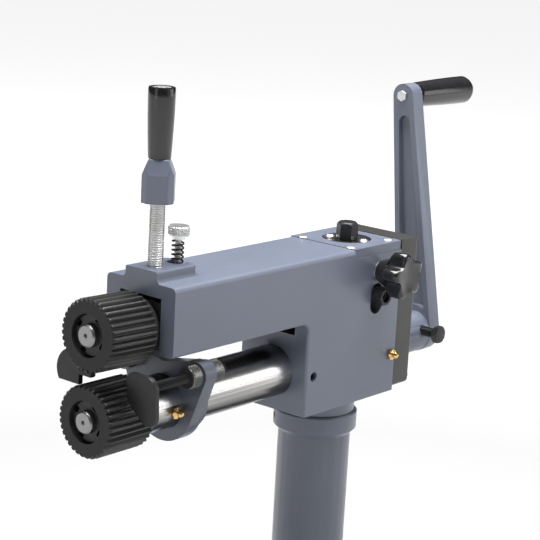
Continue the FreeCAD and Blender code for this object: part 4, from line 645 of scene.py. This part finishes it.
def make_grease_nipples():
    """Ball-headed nipples on their hexagons, pointing to the star knob's side."""
    flats, hexagon, head = 10.0, 3.2, 9.2
    outline = [(0, 0), (0.9, 0), (1.5, 0.2), (2.5, 1.0), (3.2, 2.4), (3.1, 3.7), (2.6, 4.6), (2.6, 5.3),
               (3.6, 5.8), (3.9, 6.3), (0, 6.3)]
    for index, (x, face_y, z) in enumerate(NIPPLE_SEATS):
        bm = bmesh.new()
        regular_prism(bm, 6, flats, 0, hexagon, "Y", (x, face_y - hexagon, z), chamfer=1.0)
        lathe(bm, outline, "Y", (x, face_y - head, z), segments=40)
        nodes = ("grease_nipples",) if index == 0 else ()
        piece("grease_nipple_%d" % index, mesh_from(bm, "grease_nipple"), "frame", "nipple_brass", *nodes,
              smooth=30)


# Visible screws and nuts

def make_dome_screws(node, radius, height, places, level):
    """Domed screw heads with a round socket, at (x, y) places on a level face."""
    outline = [(0, 0.3), (1.5, 0.3), (1.6, height * 0.98), (radius * 0.52, height * 0.9),
               (radius * 0.78, height * 0.62), (radius * 0.94, height * 0.28), (radius, 0.02),
               (radius * 0.98, -0.3), (0, -0.3)]
    for index, (x, y) in enumerate(places):
        bm = bmesh.new()
        lathe(bm, outline, "Z", (x, y, level), segments=48)
        name = "%s_head_%d" % (node, index)
        nodes = (node,) if index == 0 else ()
        piece(name, mesh_from(bm, name), "frame", "zinc_steel", *nodes, smooth=40)


def hexagon_ring(bm, flats, bore, height, outer, origin):
    """A nut along Y with a chamfered outer end and an open bore; outer is the side of that end."""
    corner = flats / math.sqrt(3)
    lead_in, land, chamfer = 0.8, 0.3, 1.2
    rows = [(bore, 0), (bore, height - lead_in), (bore + lead_in, height), (flats / 2 - land, height),
            (None, height - chamfer), (None, 0)]
    segments = 96
    rings = []
    for radius, along in rows:
        ring = []
        for step in range(segments):
            angle = TURN * step / segments
            sector = (angle % (TURN / 6)) - TURN / 12
            reach = radius or corner * math.cos(TURN / 12) / math.cos(sector)
            place = along if outer > 0 else height - along
            ring.append(bm.verts.new(Vector((origin[0] + reach * math.cos(angle), origin[1] + place,
                                             origin[2] + reach * math.sin(angle))) * MM))
        rings.append(ring)
    bridge_rings(bm, rings + rings[:1], segments)


def make_pivot_nuts():
    flats, bore, height, seat_y = 16.5, 5.1, 11.0, 40.4
    for index, (start, face) in enumerate(((-seat_y - height, -1), (seat_y, 1))):
        bm = bmesh.new()
        hexagon_ring(bm, flats, bore, height, face, (PIVOT_X, start, SHAFT_HEIGHT + AXIS_SPACING))
        name = "pivot_nut_%d" % index
        nodes = ("pivot_nuts",) if index == 0 else ()
        piece(name, mesh_from(bm, name), "frame", "dark_steel", *nodes, smooth=30)


def make_clamp_bolt():
    """The crank's hexagon clamp bolt with part of its thread showing."""
    low, high, centre = room_of("crank_clamp_bolt")
    flats, head = 16.0, 6.4
    on_axis = (centre.x, 0, centre.z)
    bm = bmesh.new()
    regular_prism(bm, 6, flats, low.y, low.y + head, "Y", on_axis, chamfer=1.1)
    thread(bm, 5.0, 1.5, low.y + head - 0.1, high.y, "Y", on_axis, segments=28, chamfer=0.5)
    piece("crank_clamp_bolt_dressed", mesh_from(bm, "crank_clamp_bolt"), BODY["crank_clamp_bolt"],
          SLOT["crank_clamp_bolt"], "crank_clamp_bolt", smooth=30)


make_pressure_screw()
make_pressure_handle()
make_lift_screw()
make_lift_spring()
make_guide_rods()
make_crank_grip()
make_star_knob()
make_grease_nipples()
make_pivot_nuts()
make_clamp_bolt()
PLATE_SCREWS = [(x, y) for x in (2, 60) for y in (-28.8, 28.8)]
FLANGE_CIRCLE = 17.5
FLANGE_ANGLES = (math.radians(105), math.radians(285))
FLANGE_SCREWS = [(PIVOT_X + FLANGE_CIRCLE * math.cos(a), FLANGE_CIRCLE * math.sin(a)) for a in FLANGE_ANGLES]
make_dome_screws("top_plate_screws", 5.2, 1.1, PLATE_SCREWS, PLATE_TOP)
make_dome_screws("spindle_flange_screws", 5.7, 3.4, FLANGE_SCREWS, FLANGE_TOP)


# Floor, light and camera

CENTRE = (-0.05, 0, 0.36)


def make_floor():
    """A pale matt floor that glows more with the distance, so that it fades into the white."""
    bm = bmesh.new()
    bmesh.ops.create_grid(bm, x_segments=1, y_segments=1, size=40)
    mesh = mesh_from(bm, "floor")
    floor = bpy.data.objects.new("floor", mesh)
    bpy.context.scene.collection.objects.link(floor)
    material, nodes, links, shader = new_material("floor_white")
    shader.inputs["Base Color"].default_value = (0.40, 0.40, 0.40, 1)
    shader.inputs["Roughness"].default_value = 0.9
    shader.inputs["Emission Color"].default_value = (1, 1, 1, 1)
    place = nodes.new("ShaderNodeTexCoord")
    distance = nodes.new("ShaderNodeVectorMath")
    distance.operation = "LENGTH"
    links.new(place.outputs["Object"], distance.inputs[0])
    glow = nodes.new("ShaderNodeMapRange")
    for socket, level in (("From Min", 0.7), ("From Max", 2.4), ("To Min", 0.12), ("To Max", 0.85)):
        glow.inputs[socket].default_value = level
    links.new(distance.outputs["Value"], glow.inputs["Value"])
    links.new(glow.outputs["Result"], shader.inputs["Emission Strength"])
    mesh.materials.append(material)


STUDIO_BANDS = [(0.0, 0.55), (0.42, 0.55), (0.49, 0.10), (0.56, 0.10), (0.66, 0.45), (0.80, 0.95),
                (1.0, 1.1)]
CAMERA_WHITE = 7.0


def make_world():
    """White to the camera; to reflections, a studio with a bright top and a dark horizon."""
    world = bpy.data.worlds.new("studio")
    bpy.context.scene.world = world
    world.use_nodes = True
    nodes, links = world.node_tree.nodes, world.node_tree.links
    background = nodes["Background"]
    studio = bands(nodes, links, direction(nodes, links, "Generated", "Z"), STUDIO_BANDS)
    path = nodes.new("ShaderNodeLightPath")
    mix = nodes.new("ShaderNodeMix")
    mix.data_type = "RGBA"
    links.new(path.outputs["Is Camera Ray"], mix.inputs["Factor"])
    links.new(studio, mix.inputs["A"])
    mix.inputs["B"].default_value = (CAMERA_WHITE, CAMERA_WHITE, CAMERA_WHITE, 1)
    links.new(mix.outputs["Result"], background.inputs["Color"])
    background.inputs["Strength"].default_value = 0.15


def add_light(name, position, size, watts):
    """A soft rectangular lamp that points at the middle of the machine, in metres."""
    data = bpy.data.lights.new(name, "AREA")
    data.shape = "RECTANGLE"
    data.size, data.size_y = size
    data.energy = watts
    light = bpy.data.objects.new(name, data)
    bpy.context.scene.collection.objects.link(light)
    light.location = position
    light.rotation_euler = (Vector(CENTRE) - Vector(position)).to_track_quat("-Z", "Y").to_euler()


def make_camera():
    """The photograph's camera, as fitted to the casting's edges."""
    focal_px, frame_px, sensor = 1706.67, 540, 36.0
    azimuth, elevation, roll = (math.radians(v) for v in (-50.26, 13.06, 3.11))
    back = Vector((math.sin(azimuth) * math.cos(elevation), -math.cos(azimuth) * math.cos(elevation),
                   math.sin(elevation)))
    right = Vector((math.cos(azimuth), math.sin(azimuth), 0))
    up = back.cross(right)
    side = right * math.cos(roll) + up * math.sin(roll)
    top = up * math.cos(roll) - right * math.sin(roll)
    data = bpy.data.cameras.new("camera")
    data.sensor_width = sensor
    data.lens = focal_px / frame_px * sensor
    data.clip_start, data.clip_end = 0.05, 200
    camera = bpy.data.objects.new("camera", data)
    bpy.context.scene.collection.objects.link(camera)
    place = Matrix((side, top, back)).transposed().to_4x4()
    place.translation = Vector((-1240.7, -965.5, 746.7)) * MM
    camera.matrix_world = place
    bpy.context.scene.camera = camera


make_floor()
make_world()
add_light("key", (0.6, -2.7, 1.3), (1.8, 1.6), 4)
add_light("top", (0.1, 0.1, 2.7), (2.0, 2.0), 175)
add_light("side", (1.9, -2.1, 0.95), (1.6, 1.0), 10)
add_light("front", (-2.5, 0.2, 1.0), (0.9, 1.6), 4)
make_camera()
bpy.context.scene.view_settings.view_transform = "Standard"
